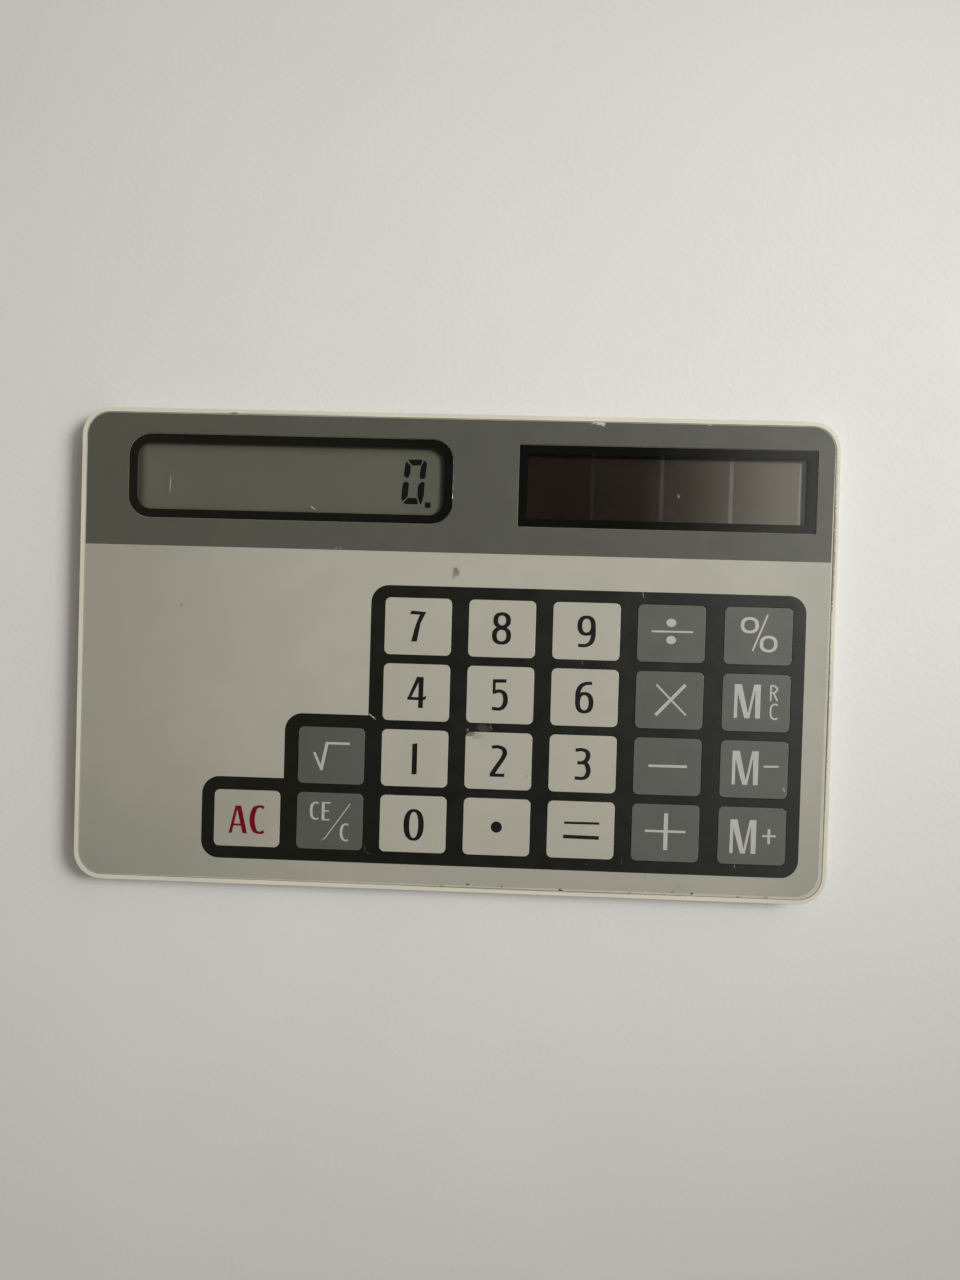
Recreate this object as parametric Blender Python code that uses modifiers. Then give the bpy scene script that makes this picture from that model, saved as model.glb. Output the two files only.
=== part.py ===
"""A solar calculator the size of a bank card, with flush membrane keys.

The face is towards +Z and its header, with the display and the solar cell, is towards +Y. The origin is
at the middle of the underside. The sizes below are the ones to change: the card's own length, width and
thickness are the sums of what lies inside it, so a larger key or a thicker glass makes a larger card.
"""

from math import cos, pi, sin

import bmesh
import bpy
from mathutils import Matrix, Vector

MM = 0.001

# Layers, from the rim down to the underside
FILM_RECESS = 0.05 * MM
FILM_THICKNESS = 0.25 * MM
ADHESIVE_THICKNESS = 0.05 * MM
DECK_THICKNESS = 0.44 * MM
SPACER_THICKNESS = 0.25 * MM
BOARD_THICKNESS = 0.5 * MM
POLARIZER_THICKNESS = 0.15 * MM
DISPLAY_GLASS_THICKNESS = 0.4 * MM
DISPLAY_CUSHION_THICKNESS = 0.25 * MM
SOLAR_GLASS_THICKNESS = 0.7 * MM
SOLAR_CELL_THICKNESS = 0.05 * MM
SOLAR_BACKING_THICKNESS = 0.1 * MM
COVER_THICKNESS = 0.5 * MM
LAYER_GAP = 0.02 * MM

# Keys
KEY_LENGTH = 7.57 * MM
KEY_WIDTH = 6.46 * MM
KEY_CORNER_RADIUS = 0.6 * MM
KEY_SEAM = 0.05 * MM
HOLE_RELIEF = 0.1 * MM
COLUMN_GAP = 1.93 * MM
LAST_COLUMN_GAP = 2.1 * MM
ROW_GAP = 1.02 * MM
CONTACT_BORDER = 1.2 * MM
CONTACT_CORNER_RADIUS = 0.4 * MM
CONTACT_THICKNESS = 0.04 * MM

# The spacer round the keys, and the frame's ledge and wall round the spacer
SPACER_FOOT = 0.99 * MM
SPACER_HEAD = 4.135 * MM
SPACER_BLANK = 12.885 * MM
SPACER_SIDE = 1.375 * MM
FIT_GAP = 0.1 * MM
LEDGE_REACH = 1.2 * MM
BOARD_WALL = 2.0 * MM
BOARD_GAP = 0.2 * MM
PARTITION = 1.2 * MM
POCKET_CORNER_RADIUS = 0.8 * MM

# Display
DISPLAY_VIEW_LENGTH = 35.1 * MM
DISPLAY_VIEW_WIDTH = 7.55 * MM
DISPLAY_SIDE_WALL = 5.21 * MM
DISPLAY_HEAD_WALL = 2.725 * MM
WINDOW_MARGIN = 0.3 * MM
POLARIZER_BORDER = 0.7 * MM
GLASS_BORDER = 1.0 * MM
CONTACT_LEDGE = 1.6 * MM
POCKET_GAP = 0.15 * MM
GLASS_CORNER_RADIUS = 0.3 * MM
DISPLAY_BORDER = 1.0 * MM
DISPLAY_BORDER_RADIUS = 2.5 * MM
PANE_GAP = 0.05 * MM

# Solar cell
SOLAR_VIEW_LENGTH = 31.32 * MM
SOLAR_VIEW_WIDTH = 7.34 * MM
SOLAR_SIDE_WALL = 2.69 * MM
SOLAR_BORDER = 0.6 * MM
SOLAR_PANE_BORDER = 0.95 * MM
SOLAR_PANE_RADIUS = 0.12 * MM
SOLAR_DROP = 0.2 * MM
CELL_GAP = 0.48 * MM
CELL_CORNER_RADIUS = 0.1 * MM
CELL_SIDE_STRIP = 0.5 * MM
CELL_END_STRIP = 1.24 * MM
CELL_COUNT = 4

# The least width of frame between the display's pocket and the solar cell's
POCKET_DIVIDER = 4.0 * MM

# Frame and rear cover
RIM_WIDTH = 0.55 * MM
FILM_GAP = 0.05 * MM
CARD_CORNER_RADIUS = 3.18 * MM
EDGE_ROUND = 0.3 * MM
COVER_INSET = 1.0 * MM
COVER_GAP = 0.05 * MM
COVER_EDGE_ROUND = 0.12 * MM
ADHESIVE_INSET = 0.15 * MM
RIB_THICKNESS = 0.8 * MM
RIB_CORNER_RADIUS = 0.2 * MM

# What the board carries, and what joins it to the display and the solar cell
CHIP_RADIUS = 4.2 * MM
CHIP_HEIGHT = 0.75 * MM
CHIP_SIDE_MARGIN = 3.0 * MM
CHIP_HEAD_MARGIN = 9.0 * MM
COMPONENT_GAP = 1.5 * MM
STORAGE_CAPACITOR = (3.5 * MM, 2.8 * MM, 0.9 * MM)
RESET_CAPACITOR = (2.0 * MM, 1.25 * MM, 0.6 * MM)
TIMING_RESISTOR = (2.0 * MM, 1.25 * MM, 0.5 * MM)
LIMITER_DIODE = (2.2 * MM, 1.4 * MM, 0.8 * MM)
COMPONENT_EDGE_ROUND = 0.1 * MM
RIBBON_THICKNESS = 0.06 * MM
RIBBON_INSET = 2.3 * MM
RIBBON_REACH = 2.0 * MM
RIBBON_CLEARANCE = 0.2 * MM
LEAD_RADIUS = 0.15 * MM
LEAD_INSET = 1.5 * MM
LEAD_REACH = 1.4 * MM
LEAD_CLEARANCE = 0.25 * MM
SOLAR_CUSHION_WIDTH = 5.0 * MM

# Fineness of the rounded shapes, and small amounts for cutting and welding
CARD_CORNER_STEPS = 10
KEY_CORNER_STEPS = 3
POCKET_CORNER_STEPS = 3
PANE_CORNER_STEPS = 8
EDGE_STEPS = 3
CHIP_STEPS = 24
CHIP_PROFILE_STEPS = 5
COMPONENT_EDGE_STEPS = 1
LEAD_STEPS = 10
LEAD_ROUND_STEPS = 2
OVERRUN = 0.2 * MM
WELD = 0.001 * MM

# The keys as they lie on the face, and the dark ones among them
KEY_GRID = (
    ("", "", "key_7", "key_8", "key_9", "key_divide", "key_percent"),
    ("", "", "key_4", "key_5", "key_6", "key_multiply", "key_memory_recall"),
    ("", "key_square_root", "key_1", "key_2", "key_3", "key_minus", "key_memory_minus"),
    ("key_all_clear", "key_clear_entry", "key_0", "key_point", "key_equals", "key_plus", "key_memory_plus"),
)
DARK_KEYS = (
    "key_square_root",
    "key_clear_entry",
    "key_divide",
    "key_multiply",
    "key_minus",
    "key_plus",
    "key_percent",
    "key_memory_recall",
    "key_memory_minus",
    "key_memory_plus",
)
ROWS = len(KEY_GRID)
COLUMNS = len(KEY_GRID[0])

# Levels, from the underside up
COVER_TOP = COVER_THICKNESS
DISPLAY_CUSHION_LOW = COVER_TOP + LAYER_GAP
REAR_POLARIZER_LOW = DISPLAY_CUSHION_LOW + DISPLAY_CUSHION_THICKNESS + LAYER_GAP
REAR_GLASS_LOW = REAR_POLARIZER_LOW + POLARIZER_THICKNESS + LAYER_GAP
FRONT_GLASS_LOW = REAR_GLASS_LOW + DISPLAY_GLASS_THICKNESS + LAYER_GAP
FRONT_POLARIZER_LOW = FRONT_GLASS_LOW + DISPLAY_GLASS_THICKNESS + LAYER_GAP
DECK_LOW = FRONT_POLARIZER_LOW + POLARIZER_THICKNESS + LAYER_GAP
DECK_TOP = DECK_LOW + DECK_THICKNESS
ADHESIVE_LOW = DECK_TOP + LAYER_GAP
FILM_LOW = ADHESIVE_LOW + ADHESIVE_THICKNESS + LAYER_GAP
FILM_TOP = FILM_LOW + FILM_THICKNESS
CARD_THICKNESS = FILM_TOP + FILM_RECESS
SPACER_LOW = DECK_TOP - SPACER_THICKNESS
BOARD_TOP = SPACER_LOW - LAYER_GAP
BOARD_LOW = BOARD_TOP - BOARD_THICKNESS
REBATE_TOP = COVER_TOP + LAYER_GAP + ADHESIVE_THICKNESS + LAYER_GAP
SOLAR_TOP = DECK_LOW - LAYER_GAP
SOLAR_GLASS_LOW = SOLAR_TOP - SOLAR_GLASS_THICKNESS
SOLAR_CELL_LOW = SOLAR_GLASS_LOW - LAYER_GAP - SOLAR_CELL_THICKNESS
SOLAR_BACKING_LOW = SOLAR_CELL_LOW - LAYER_GAP - SOLAR_BACKING_THICKNESS

# The card's outline, as the sum of what lies across it. Its length is what the longer row needs.
KEYS_LENGTH = COLUMNS * KEY_LENGTH + (COLUMNS - 2) * COLUMN_GAP + LAST_COLUMN_GAP
KEYS_WIDTH = ROWS * KEY_WIDTH + (ROWS - 1) * ROW_GAP
SURROUND = BOARD_WALL + LEDGE_REACH + FIT_GAP
DISPLAY_FOOT = GLASS_BORDER + CONTACT_LEDGE + POCKET_GAP
DISPLAY_REACH = DISPLAY_VIEW_LENGTH / 2 + GLASS_BORDER + POCKET_GAP
SOLAR_REACH = SOLAR_VIEW_LENGTH / 2 + SOLAR_BORDER + POCKET_GAP
HEADER_LENGTH = (
    DISPLAY_SIDE_WALL + 2 * DISPLAY_REACH + POCKET_DIVIDER + 2 * SOLAR_REACH + SOLAR_SIDE_WALL
)
CARD_LENGTH = max(SURROUND + SPACER_BLANK + KEYS_LENGTH + SPACER_SIDE + SURROUND, HEADER_LENGTH)
CARD_WIDTH = (
    SURROUND
    + SPACER_FOOT
    + KEYS_WIDTH
    + SPACER_HEAD
    + FIT_GAP
    + LEDGE_REACH
    + PARTITION
    + DISPLAY_FOOT
    + DISPLAY_VIEW_WIDTH
    + GLASS_BORDER
    + POCKET_GAP
    + DISPLAY_HEAD_WALL
)
LEFT = -CARD_LENGTH / 2
RIGHT = CARD_LENGTH / 2
FOOT = -CARD_WIDTH / 2
HEAD = CARD_WIDTH / 2

# Places on the face
FIRST_COLUMN = RIGHT - SURROUND - SPACER_SIDE - KEYS_LENGTH + KEY_LENGTH / 2
LAST_ROW = FOOT + SURROUND + SPACER_FOOT + KEY_WIDTH / 2
DISPLAY_X = LEFT + DISPLAY_SIDE_WALL + DISPLAY_REACH
DISPLAY_Y = HEAD - DISPLAY_HEAD_WALL - POCKET_GAP - GLASS_BORDER - DISPLAY_VIEW_WIDTH / 2
SOLAR_X = RIGHT - SOLAR_SIDE_WALL - SOLAR_REACH
SOLAR_Y = DISPLAY_Y - SOLAR_DROP
BOARD_HEAD = DISPLAY_Y - DISPLAY_VIEW_WIDTH / 2 - DISPLAY_FOOT - PARTITION


def new_collection(name):
    """A collection linked to the scene."""
    collection = bpy.data.collections.new(name)
    bpy.context.scene.collection.children.link(collection)
    return collection


def finish(name, colour, roughness, metallic=0.0):
    """A plain Principled material."""
    material = bpy.data.materials.new(name)
    material.use_nodes = True
    shader = material.node_tree.nodes["Principled BSDF"]
    shader.inputs["Base Color"].default_value = (*colour, 1.0)
    shader.inputs["Roughness"].default_value = roughness
    shader.inputs["Metallic"].default_value = metallic
    material.diffuse_color = (*colour, 1.0)
    return material


def rectangle(left, right, foot, head, radius, steps):
    """The points of a rectangle with rounded corners, anticlockwise."""
    corners = ((right, head), (left, head), (left, foot), (right, foot))
    inwards = ((-1, -1), (1, -1), (1, 1), (-1, 1))
    points = []
    for turn, ((x, y), (inward_x, inward_y)) in enumerate(zip(corners, inwards)):
        for step in range(steps + 1):
            angle = pi / 2 * (turn + step / steps)
            points.append(
                (
                    x + inward_x * radius + radius * cos(angle),
                    y + inward_y * radius + radius * sin(angle),
                )
            )
    return points


def centred(x, y, length, width, radius, steps):
    """The same, given by its middle and its size."""
    return rectangle(x - length / 2, x + length / 2, y - width / 2, y + width / 2, radius, steps)


def card_outline(inset):
    """The card's own outline, drawn in by an inset."""
    return centred(
        0,
        0,
        CARD_LENGTH - 2 * inset,
        CARD_WIDTH - 2 * inset,
        CARD_CORNER_RADIUS - inset,
        CARD_CORNER_STEPS,
    )


def column_place(column):
    """The middle of a column of keys. The last one stands a little further off than the others."""
    x = FIRST_COLUMN + column * (KEY_LENGTH + COLUMN_GAP)
    if column == COLUMNS - 1:
        x += LAST_COLUMN_GAP - COLUMN_GAP
    return x


def row_place(row):
    """The middle of a row of keys."""
    return LAST_ROW + (ROWS - 1 - row) * (KEY_WIDTH + ROW_GAP)


def key_places():
    """Each key's name and the middle of its place."""
    for row, names in enumerate(KEY_GRID):
        for column, name in enumerate(names):
            if name:
                yield name, column_place(column), row_place(row)


def key_openings(margin):
    """The outlines of the openings that the keys pass through, larger than a key by a margin all round."""
    return [
        centred(
            x,
            y,
            KEY_LENGTH + 2 * margin,
            KEY_WIDTH + 2 * margin,
            KEY_CORNER_RADIUS + margin,
            KEY_CORNER_STEPS,
        )
        for _, x, y in key_places()
    ]


def display_area(margin, foot_margin, radius):
    """An outline round the display's view, with its own margin at the foot."""
    half_length = DISPLAY_VIEW_LENGTH / 2 + margin
    half_width = DISPLAY_VIEW_WIDTH / 2
    return rectangle(
        DISPLAY_X - half_length,
        DISPLAY_X + half_length,
        DISPLAY_Y - half_width - foot_margin,
        DISPLAY_Y + half_width + margin,
        radius,
        POCKET_CORNER_STEPS,
    )


def solar_area(margin, radius):
    """An outline round the solar cell's view."""
    return centred(
        SOLAR_X,
        SOLAR_Y,
        SOLAR_VIEW_LENGTH + 2 * margin,
        SOLAR_VIEW_WIDTH + 2 * margin,
        radius,
        POCKET_CORNER_STEPS,
    )


def display_pane_area(margin):
    """The outline of the display's pane with its black border, larger by a margin."""
    return centred(
        DISPLAY_X,
        DISPLAY_Y,
        DISPLAY_VIEW_LENGTH + 2 * (DISPLAY_BORDER + margin),
        DISPLAY_VIEW_WIDTH + 2 * (DISPLAY_BORDER + margin),
        DISPLAY_BORDER_RADIUS + margin,
        PANE_CORNER_STEPS,
    )


def solar_pane_area(margin):
    """The outline of the solar cell's pane with its black border, larger by a margin."""
    return solar_area(SOLAR_PANE_BORDER + margin, SOLAR_PANE_RADIUS + margin)


def board_area(inset):
    """An outline inside the pocket that holds the circuit board."""
    return rectangle(
        LEFT + BOARD_WALL + inset,
        RIGHT - BOARD_WALL - inset,
        FOOT + BOARD_WALL + inset,
        BOARD_HEAD - inset,
        POCKET_CORNER_RADIUS,
        POCKET_CORNER_STEPS,
    )


def mesh_from(guide, name, collection):
    """The guide's evaluated shape as a mesh object with its seams welded. The guide is removed."""
    bpy.context.view_layer.update()
    evaluated = guide.evaluated_get(bpy.context.evaluated_depsgraph_get())
    mesh = bpy.data.meshes.new_from_object(evaluated)
    mesh.name = name
    shape = bmesh.new()
    shape.from_mesh(mesh)
    bmesh.ops.remove_doubles(shape, verts=shape.verts, dist=WELD)
    bmesh.ops.recalc_face_normals(shape, faces=shape.faces)
    shape.to_mesh(mesh)
    shape.free()
    place = guide.matrix_world.copy()
    bpy.data.objects.remove(guide)
    solid = bpy.data.objects.new(name, mesh)
    solid.matrix_world = place
    collection.objects.link(solid)
    return solid


def sheet(name, outlines, low, high, collection):
    """A flat solid between two levels. The first outline is its edge and the others are its openings."""
    curve = bpy.data.curves.new(name, "CURVE")
    curve.dimensions = "2D"
    curve.fill_mode = "BOTH"
    curve.extrude = (high - low) / 2
    for outline in outlines:
        spline = curve.splines.new("POLY")
        spline.points.add(len(outline) - 1)
        for point, (x, y) in zip(spline.points, outline):
            point.co = Vector((x, y, 0)).to_4d()
        spline.use_cyclic_u = True
    guide = bpy.data.objects.new(name, curve)
    guide.location.z = (low + high) / 2
    collection.objects.link(guide)
    return mesh_from(guide, name, collection)


def rounded(solid, width, steps):
    """Rounds the solid's sharp edges."""
    bevel = solid.modifiers.new("edge_round", "BEVEL")
    bevel.width = width
    bevel.segments = steps
    bevel.limit_method = "ANGLE"
    bevel.harden_normals = False


def combine(solid, other, operation):
    """Cuts the other solid from this one, or joins it to this one."""
    other.hide_render = True
    other.display_type = "WIRE"
    boolean = solid.modifiers.new(other.name, "BOOLEAN")
    boolean.operation = operation
    boolean.solver = "EXACT"
    boolean.object = other


def smooth(solid, angle=pi / 6):
    """Shades the solid smooth, apart from its sharp edges."""
    solid.data.shade_smooth()
    solid.data.set_sharp_from_angle(angle=angle)


def add_case_frame(parts, cutters):
    """The moulded frame: the rim, the ledge and the deck that the film is glued to, and the pockets."""
    frame = sheet("case_frame", [card_outline(0)], 0, CARD_THICKNESS, parts)
    rounded(frame, EDGE_ROUND, EDGE_STEPS)
    ledge_opening = board_area(LEDGE_REACH)
    under_rebate = REBATE_TOP - OVERRUN
    glass_pocket = display_area(
        GLASS_BORDER + POCKET_GAP, DISPLAY_FOOT, POCKET_CORNER_RADIUS
    )
    solar_pocket = solar_area(SOLAR_BORDER + POCKET_GAP, POCKET_CORNER_RADIUS)
    cuts = (
        ("film_recess", card_outline(RIM_WIDTH - FILM_GAP), DECK_TOP, CARD_THICKNESS + OVERRUN),
        ("cover_rebate", card_outline(COVER_INSET - COVER_GAP), -OVERRUN, REBATE_TOP),
        ("board_pocket", board_area(0), under_rebate, SPACER_LOW),
        ("ledge_opening", ledge_opening, SPACER_LOW - OVERRUN, DECK_TOP + OVERRUN),
        ("display_pocket", glass_pocket, under_rebate, DECK_LOW),
        ("solar_pocket", solar_pocket, under_rebate, DECK_LOW),
        (
            "display_window",
            display_area(WINDOW_MARGIN, WINDOW_MARGIN, POCKET_CORNER_RADIUS),
            DECK_LOW - OVERRUN,
            DECK_TOP + OVERRUN,
        ),
        (
            "solar_window",
            solar_area(WINDOW_MARGIN, GLASS_CORNER_RADIUS),
            DECK_LOW - OVERRUN,
            DECK_TOP + OVERRUN,
        ),
    )
    for name, outline, low, high in cuts:
        combine(frame, sheet(name + "_cutter", [outline], low, high, cutters), "DIFFERENCE")
    for cutter in add_channels(cutters):
        combine(frame, cutter, "DIFFERENCE")
    frame.data.materials.append(finish("cream_plastic", (0.79, 0.76, 0.68), 0.45))
    return frame


def add_channels(cutters):
    """Cutters for the channels that let the ribbon and the solar leads through the frame's partition."""
    ceiling = BOARD_LOW + RIBBON_CLEARANCE
    half_ribbon = DISPLAY_VIEW_LENGTH / 2 - RIBBON_INSET + RIBBON_CLEARANCE
    half_lead = LEAD_RADIUS + LEAD_CLEARANCE
    solar_foot = SOLAR_Y - SOLAR_VIEW_WIDTH / 2 - SOLAR_BORDER
    channels = [("ribbon_channel_cutter", DISPLAY_X, half_ribbon, BOARD_HEAD + PARTITION)]
    for number, x in enumerate(lead_places(), start=1):
        channels.append((f"lead_channel_{number}_cutter", x, half_lead, solar_foot))
    made = []
    for name, x, half, head in channels:
        outline = rectangle(
            x - half, x + half, BOARD_HEAD - OVERRUN, head + OVERRUN, LEAD_RADIUS, POCKET_CORNER_STEPS
        )
        made.append(sheet(name, [outline], REBATE_TOP - OVERRUN, ceiling, cutters))
    return made


def lead_places():
    """Where the two solar leads lie, near the ends of the solar cell."""
    reach = SOLAR_VIEW_LENGTH / 2 - LEAD_INSET
    return SOLAR_X - reach, SOLAR_X + reach


def add_rear_cover(parts, cutters):
    """The plain rear cover, with ribs that hold the board up against the spacer under the keys."""
    cover = sheet("rear_cover", [card_outline(COVER_INSET)], 0, COVER_TOP, parts)
    rounded(cover, COVER_EDGE_ROUND, EDGE_STEPS)
    right = column_place(COLUMNS - 1) + KEY_LENGTH / 2
    for row in range(ROWS - 1):
        first = min(column for column, name in enumerate(KEY_GRID[row + 1]) if name)
        middle = row_place(row) - (KEY_WIDTH + ROW_GAP) / 2
        outline = rectangle(
            column_place(first) - KEY_LENGTH / 2,
            right,
            middle - RIB_THICKNESS / 2,
            middle + RIB_THICKNESS / 2,
            RIB_CORNER_RADIUS,
            POCKET_CORNER_STEPS,
        )
        rib = sheet(
            f"board_rib_{row + 1}", [outline], COVER_TOP / 2, BOARD_LOW - LAYER_GAP, cutters
        )
        combine(cover, rib, "UNION")
    cover.data.materials.append(finish("cream_cover_plastic", (0.77, 0.74, 0.66), 0.55))
    return cover


def add_sheets(parts):
    """The face film, the two glued sheets, and the spacer that keeps the contacts off the board."""
    panes = [display_pane_area(PANE_GAP), solar_pane_area(PANE_GAP)]
    film = sheet(
        "face_film",
        [card_outline(RIM_WIDTH), *key_openings(KEY_SEAM), *panes],
        FILM_LOW,
        FILM_TOP,
        parts,
    )
    film.data.materials.append(finish("printed_film", (0.42, 0.41, 0.36), 0.35))
    windows = [
        display_area(WINDOW_MARGIN, WINDOW_MARGIN, POCKET_CORNER_RADIUS),
        solar_area(WINDOW_MARGIN, GLASS_CORNER_RADIUS),
    ]
    glue = sheet(
        "face_adhesive",
        [card_outline(RIM_WIDTH + ADHESIVE_INSET), *key_openings(HOLE_RELIEF), *windows],
        ADHESIVE_LOW,
        FILM_LOW - LAYER_GAP,
        parts,
    )
    glue.data.materials.append(finish("clear_adhesive", (0.80, 0.77, 0.66), 0.6))
    ring = sheet(
        "rear_adhesive",
        [card_outline(COVER_INSET + ADHESIVE_INSET), board_area_ring()],
        COVER_TOP + LAYER_GAP,
        REBATE_TOP - LAYER_GAP,
        parts,
    )
    ring.data.materials.append(finish("rear_tape", (0.75, 0.73, 0.66), 0.7))
    spacer = sheet(
        "spacer_sheet",
        [board_area(LEDGE_REACH + FIT_GAP), *key_openings(HOLE_RELIEF)],
        SPACER_LOW,
        DECK_TOP,
        parts,
    )
    spacer.data.materials.append(finish("spacer_plastic", (0.74, 0.76, 0.74), 0.4))


def board_area_ring():
    """The inner edge of the rear glued ring, just outside the board's pocket on every side of the card."""
    inset = BOARD_WALL - ADHESIVE_INSET
    return centred(
        0,
        0,
        CARD_LENGTH - 2 * inset,
        CARD_WIDTH - 2 * inset,
        POCKET_CORNER_RADIUS,
        POCKET_CORNER_STEPS,
    )


def key_mesh(name, material, cutters):
    """A key: its area of the film, with the printed contact under it. Its origin is on its axis of travel."""
    film = centred(0, 0, KEY_LENGTH, KEY_WIDTH, KEY_CORNER_RADIUS, KEY_CORNER_STEPS)
    contact = centred(
        0,
        0,
        KEY_LENGTH - 2 * CONTACT_BORDER,
        KEY_WIDTH - 2 * CONTACT_BORDER,
        CONTACT_CORNER_RADIUS,
        KEY_CORNER_STEPS,
    )
    pad = sheet(name, [film], 0, FILM_THICKNESS, cutters)
    print_below = sheet(
        name + "_contact", [contact], -CONTACT_THICKNESS, FILM_THICKNESS / 2, cutters
    )
    combine(pad, print_below, "UNION")
    solid = mesh_from(pad, name, cutters)
    mesh = solid.data
    mesh.transform(solid.matrix_world)
    bpy.data.objects.remove(solid)
    mesh.materials.append(material)
    return mesh


def add_keys(parts, cutters):
    """The keys, each its own object at its place in the grid."""
    light = key_mesh("light_key", finish("light_key_film", (0.47, 0.46, 0.41), 0.25), cutters)
    dark = key_mesh("dark_key", finish("dark_key_film", (0.13, 0.135, 0.12), 0.25), cutters)
    for name, x, y in key_places():
        key = bpy.data.objects.new(name, dark if name in DARK_KEYS else light)
        key.location = (x, y, FILM_LOW)
        parts.objects.link(key)


def add_panes(parts):
    """The two glossy panes, with their black borders, that are let into the film over the windows."""
    outlines = (("display_pane", display_pane_area(0)), ("solar_pane", solar_pane_area(0)))
    for name, outline in outlines:
        pane = sheet(name, [outline], FILM_LOW, FILM_TOP, parts)
        pane.data.materials.append(finish(name + "_plastic", (0.05, 0.05, 0.045), 0.06))


def add_display(parts):
    """The liquid crystal display: two glasses between two polarizers, on a foam cushion."""
    view_rim = display_area(POLARIZER_BORDER, POLARIZER_BORDER, GLASS_CORNER_RADIUS)
    rear_rim = display_area(GLASS_BORDER, GLASS_BORDER, GLASS_CORNER_RADIUS)
    front_rim = display_area(GLASS_BORDER, GLASS_BORDER + CONTACT_LEDGE, GLASS_CORNER_RADIUS)
    layers = (
        (
            "display_cushion",
            view_rim,
            DISPLAY_CUSHION_LOW,
            DISPLAY_CUSHION_THICKNESS,
            finish("display_foam", (0.08, 0.08, 0.08), 0.9),
        ),
        (
            "display_rear_polarizer",
            view_rim,
            REAR_POLARIZER_LOW,
            POLARIZER_THICKNESS,
            finish("reflective_polarizer", (0.33, 0.34, 0.28), 0.5, 0.2),
        ),
        (
            "display_rear_glass",
            rear_rim,
            REAR_GLASS_LOW,
            DISPLAY_GLASS_THICKNESS,
            finish("rear_glass", (0.35, 0.37, 0.33), 0.1),
        ),
        (
            "display_front_glass",
            front_rim,
            FRONT_GLASS_LOW,
            DISPLAY_GLASS_THICKNESS,
            finish("front_glass", (0.37, 0.39, 0.35), 0.1),
        ),
        (
            "display_front_polarizer",
            view_rim,
            FRONT_POLARIZER_LOW,
            POLARIZER_THICKNESS,
            finish("front_polarizer", (0.30, 0.31, 0.26), 0.3),
        ),
    )
    for name, outline, low, thickness, material in layers:
        layer = sheet(name, [outline], low, low + thickness, parts)
        layer.data.materials.append(material)


def add_solar_cell(parts):
    """The solar cell: a glass with a row of cells behind it, their backing and a foam cushion."""
    glass = sheet(
        "solar_glass",
        [solar_area(SOLAR_BORDER, GLASS_CORNER_RADIUS)],
        SOLAR_GLASS_LOW,
        SOLAR_TOP,
        parts,
    )
    glass.data.materials.append(finish("solar_front_glass", (0.10, 0.07, 0.06), 0.08))
    head = SOLAR_Y + SOLAR_VIEW_WIDTH / 2 + WINDOW_MARGIN
    foot = SOLAR_Y - SOLAR_VIEW_WIDTH / 2 - WINDOW_MARGIN
    row_left = SOLAR_X - SOLAR_VIEW_LENGTH / 2 - SOLAR_BORDER + CELL_SIDE_STRIP
    row_right = SOLAR_X + SOLAR_VIEW_LENGTH / 2 + SOLAR_BORDER - CELL_END_STRIP
    pitch = (row_right - row_left + CELL_GAP) / CELL_COUNT
    for number in range(CELL_COUNT):
        left = row_left + number * pitch
        outline = rectangle(
            left, left + pitch - CELL_GAP, foot, head, CELL_CORNER_RADIUS, POCKET_CORNER_STEPS
        )
        cell = sheet(
            f"solar_cell_{number + 1}",
            [outline],
            SOLAR_CELL_LOW,
            SOLAR_CELL_LOW + SOLAR_CELL_THICKNESS,
            parts,
        )
        cell.data.materials.append(finish(cell.name + "_silicon", (0.035, 0.018, 0.015), 0.25))
    backing = sheet(
        "solar_backing",
        [solar_area(SOLAR_BORDER, GLASS_CORNER_RADIUS)],
        SOLAR_BACKING_LOW,
        SOLAR_BACKING_LOW + SOLAR_BACKING_THICKNESS,
        parts,
    )
    backing.data.materials.append(finish("solar_back_coat", (0.22, 0.17, 0.14), 0.5))
    cushion_head = SOLAR_Y + SOLAR_VIEW_WIDTH / 2
    cushion = sheet(
        "solar_cushion",
        [
            rectangle(
                SOLAR_X - SOLAR_VIEW_LENGTH / 2,
                SOLAR_X + SOLAR_VIEW_LENGTH / 2,
                cushion_head - SOLAR_CUSHION_WIDTH,
                cushion_head,
                GLASS_CORNER_RADIUS,
                POCKET_CORNER_STEPS,
            )
        ],
        COVER_TOP + LAYER_GAP,
        SOLAR_BACKING_LOW - LAYER_GAP,
        parts,
    )
    cushion.data.materials.append(finish("solar_foam", (0.09, 0.09, 0.09), 0.9))


def add_board(parts):
    """The circuit board, under the spacer and the ledge."""
    board = sheet("circuit_board", [board_area(BOARD_GAP)], BOARD_LOW, BOARD_TOP, parts)
    board.data.materials.append(finish("board_laminate", (0.10, 0.28, 0.14), 0.5))


def add_chip_cover(parts):
    """The drop of resin over the calculator's chip, turned about its axis and hanging under the board."""
    profile = bpy.data.meshes.new("chip_cover")
    points = []
    for step in range(CHIP_PROFILE_STEPS + 1):
        angle = pi / 2 * step / CHIP_PROFILE_STEPS
        points.append((CHIP_RADIUS * cos(angle), 0, -CHIP_HEIGHT * sin(angle)))
    points.insert(0, (0, 0, 0))
    edges = [(index, index + 1) for index in range(len(points) - 1)]
    profile.from_pydata(points, edges, [])
    chip = bpy.data.objects.new("chip_cover", profile)
    chip.location = (*chip_place(), BOARD_LOW - LAYER_GAP)
    parts.objects.link(chip)
    screw = chip.modifiers.new("turned", "SCREW")
    screw.steps = CHIP_STEPS
    screw.render_steps = CHIP_STEPS
    screw.use_merge_vertices = True
    screw.merge_threshold = WELD
    screw.use_smooth_shade = True
    profile.materials.append(finish("black_resin", (0.012, 0.012, 0.012), 0.4))


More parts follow.
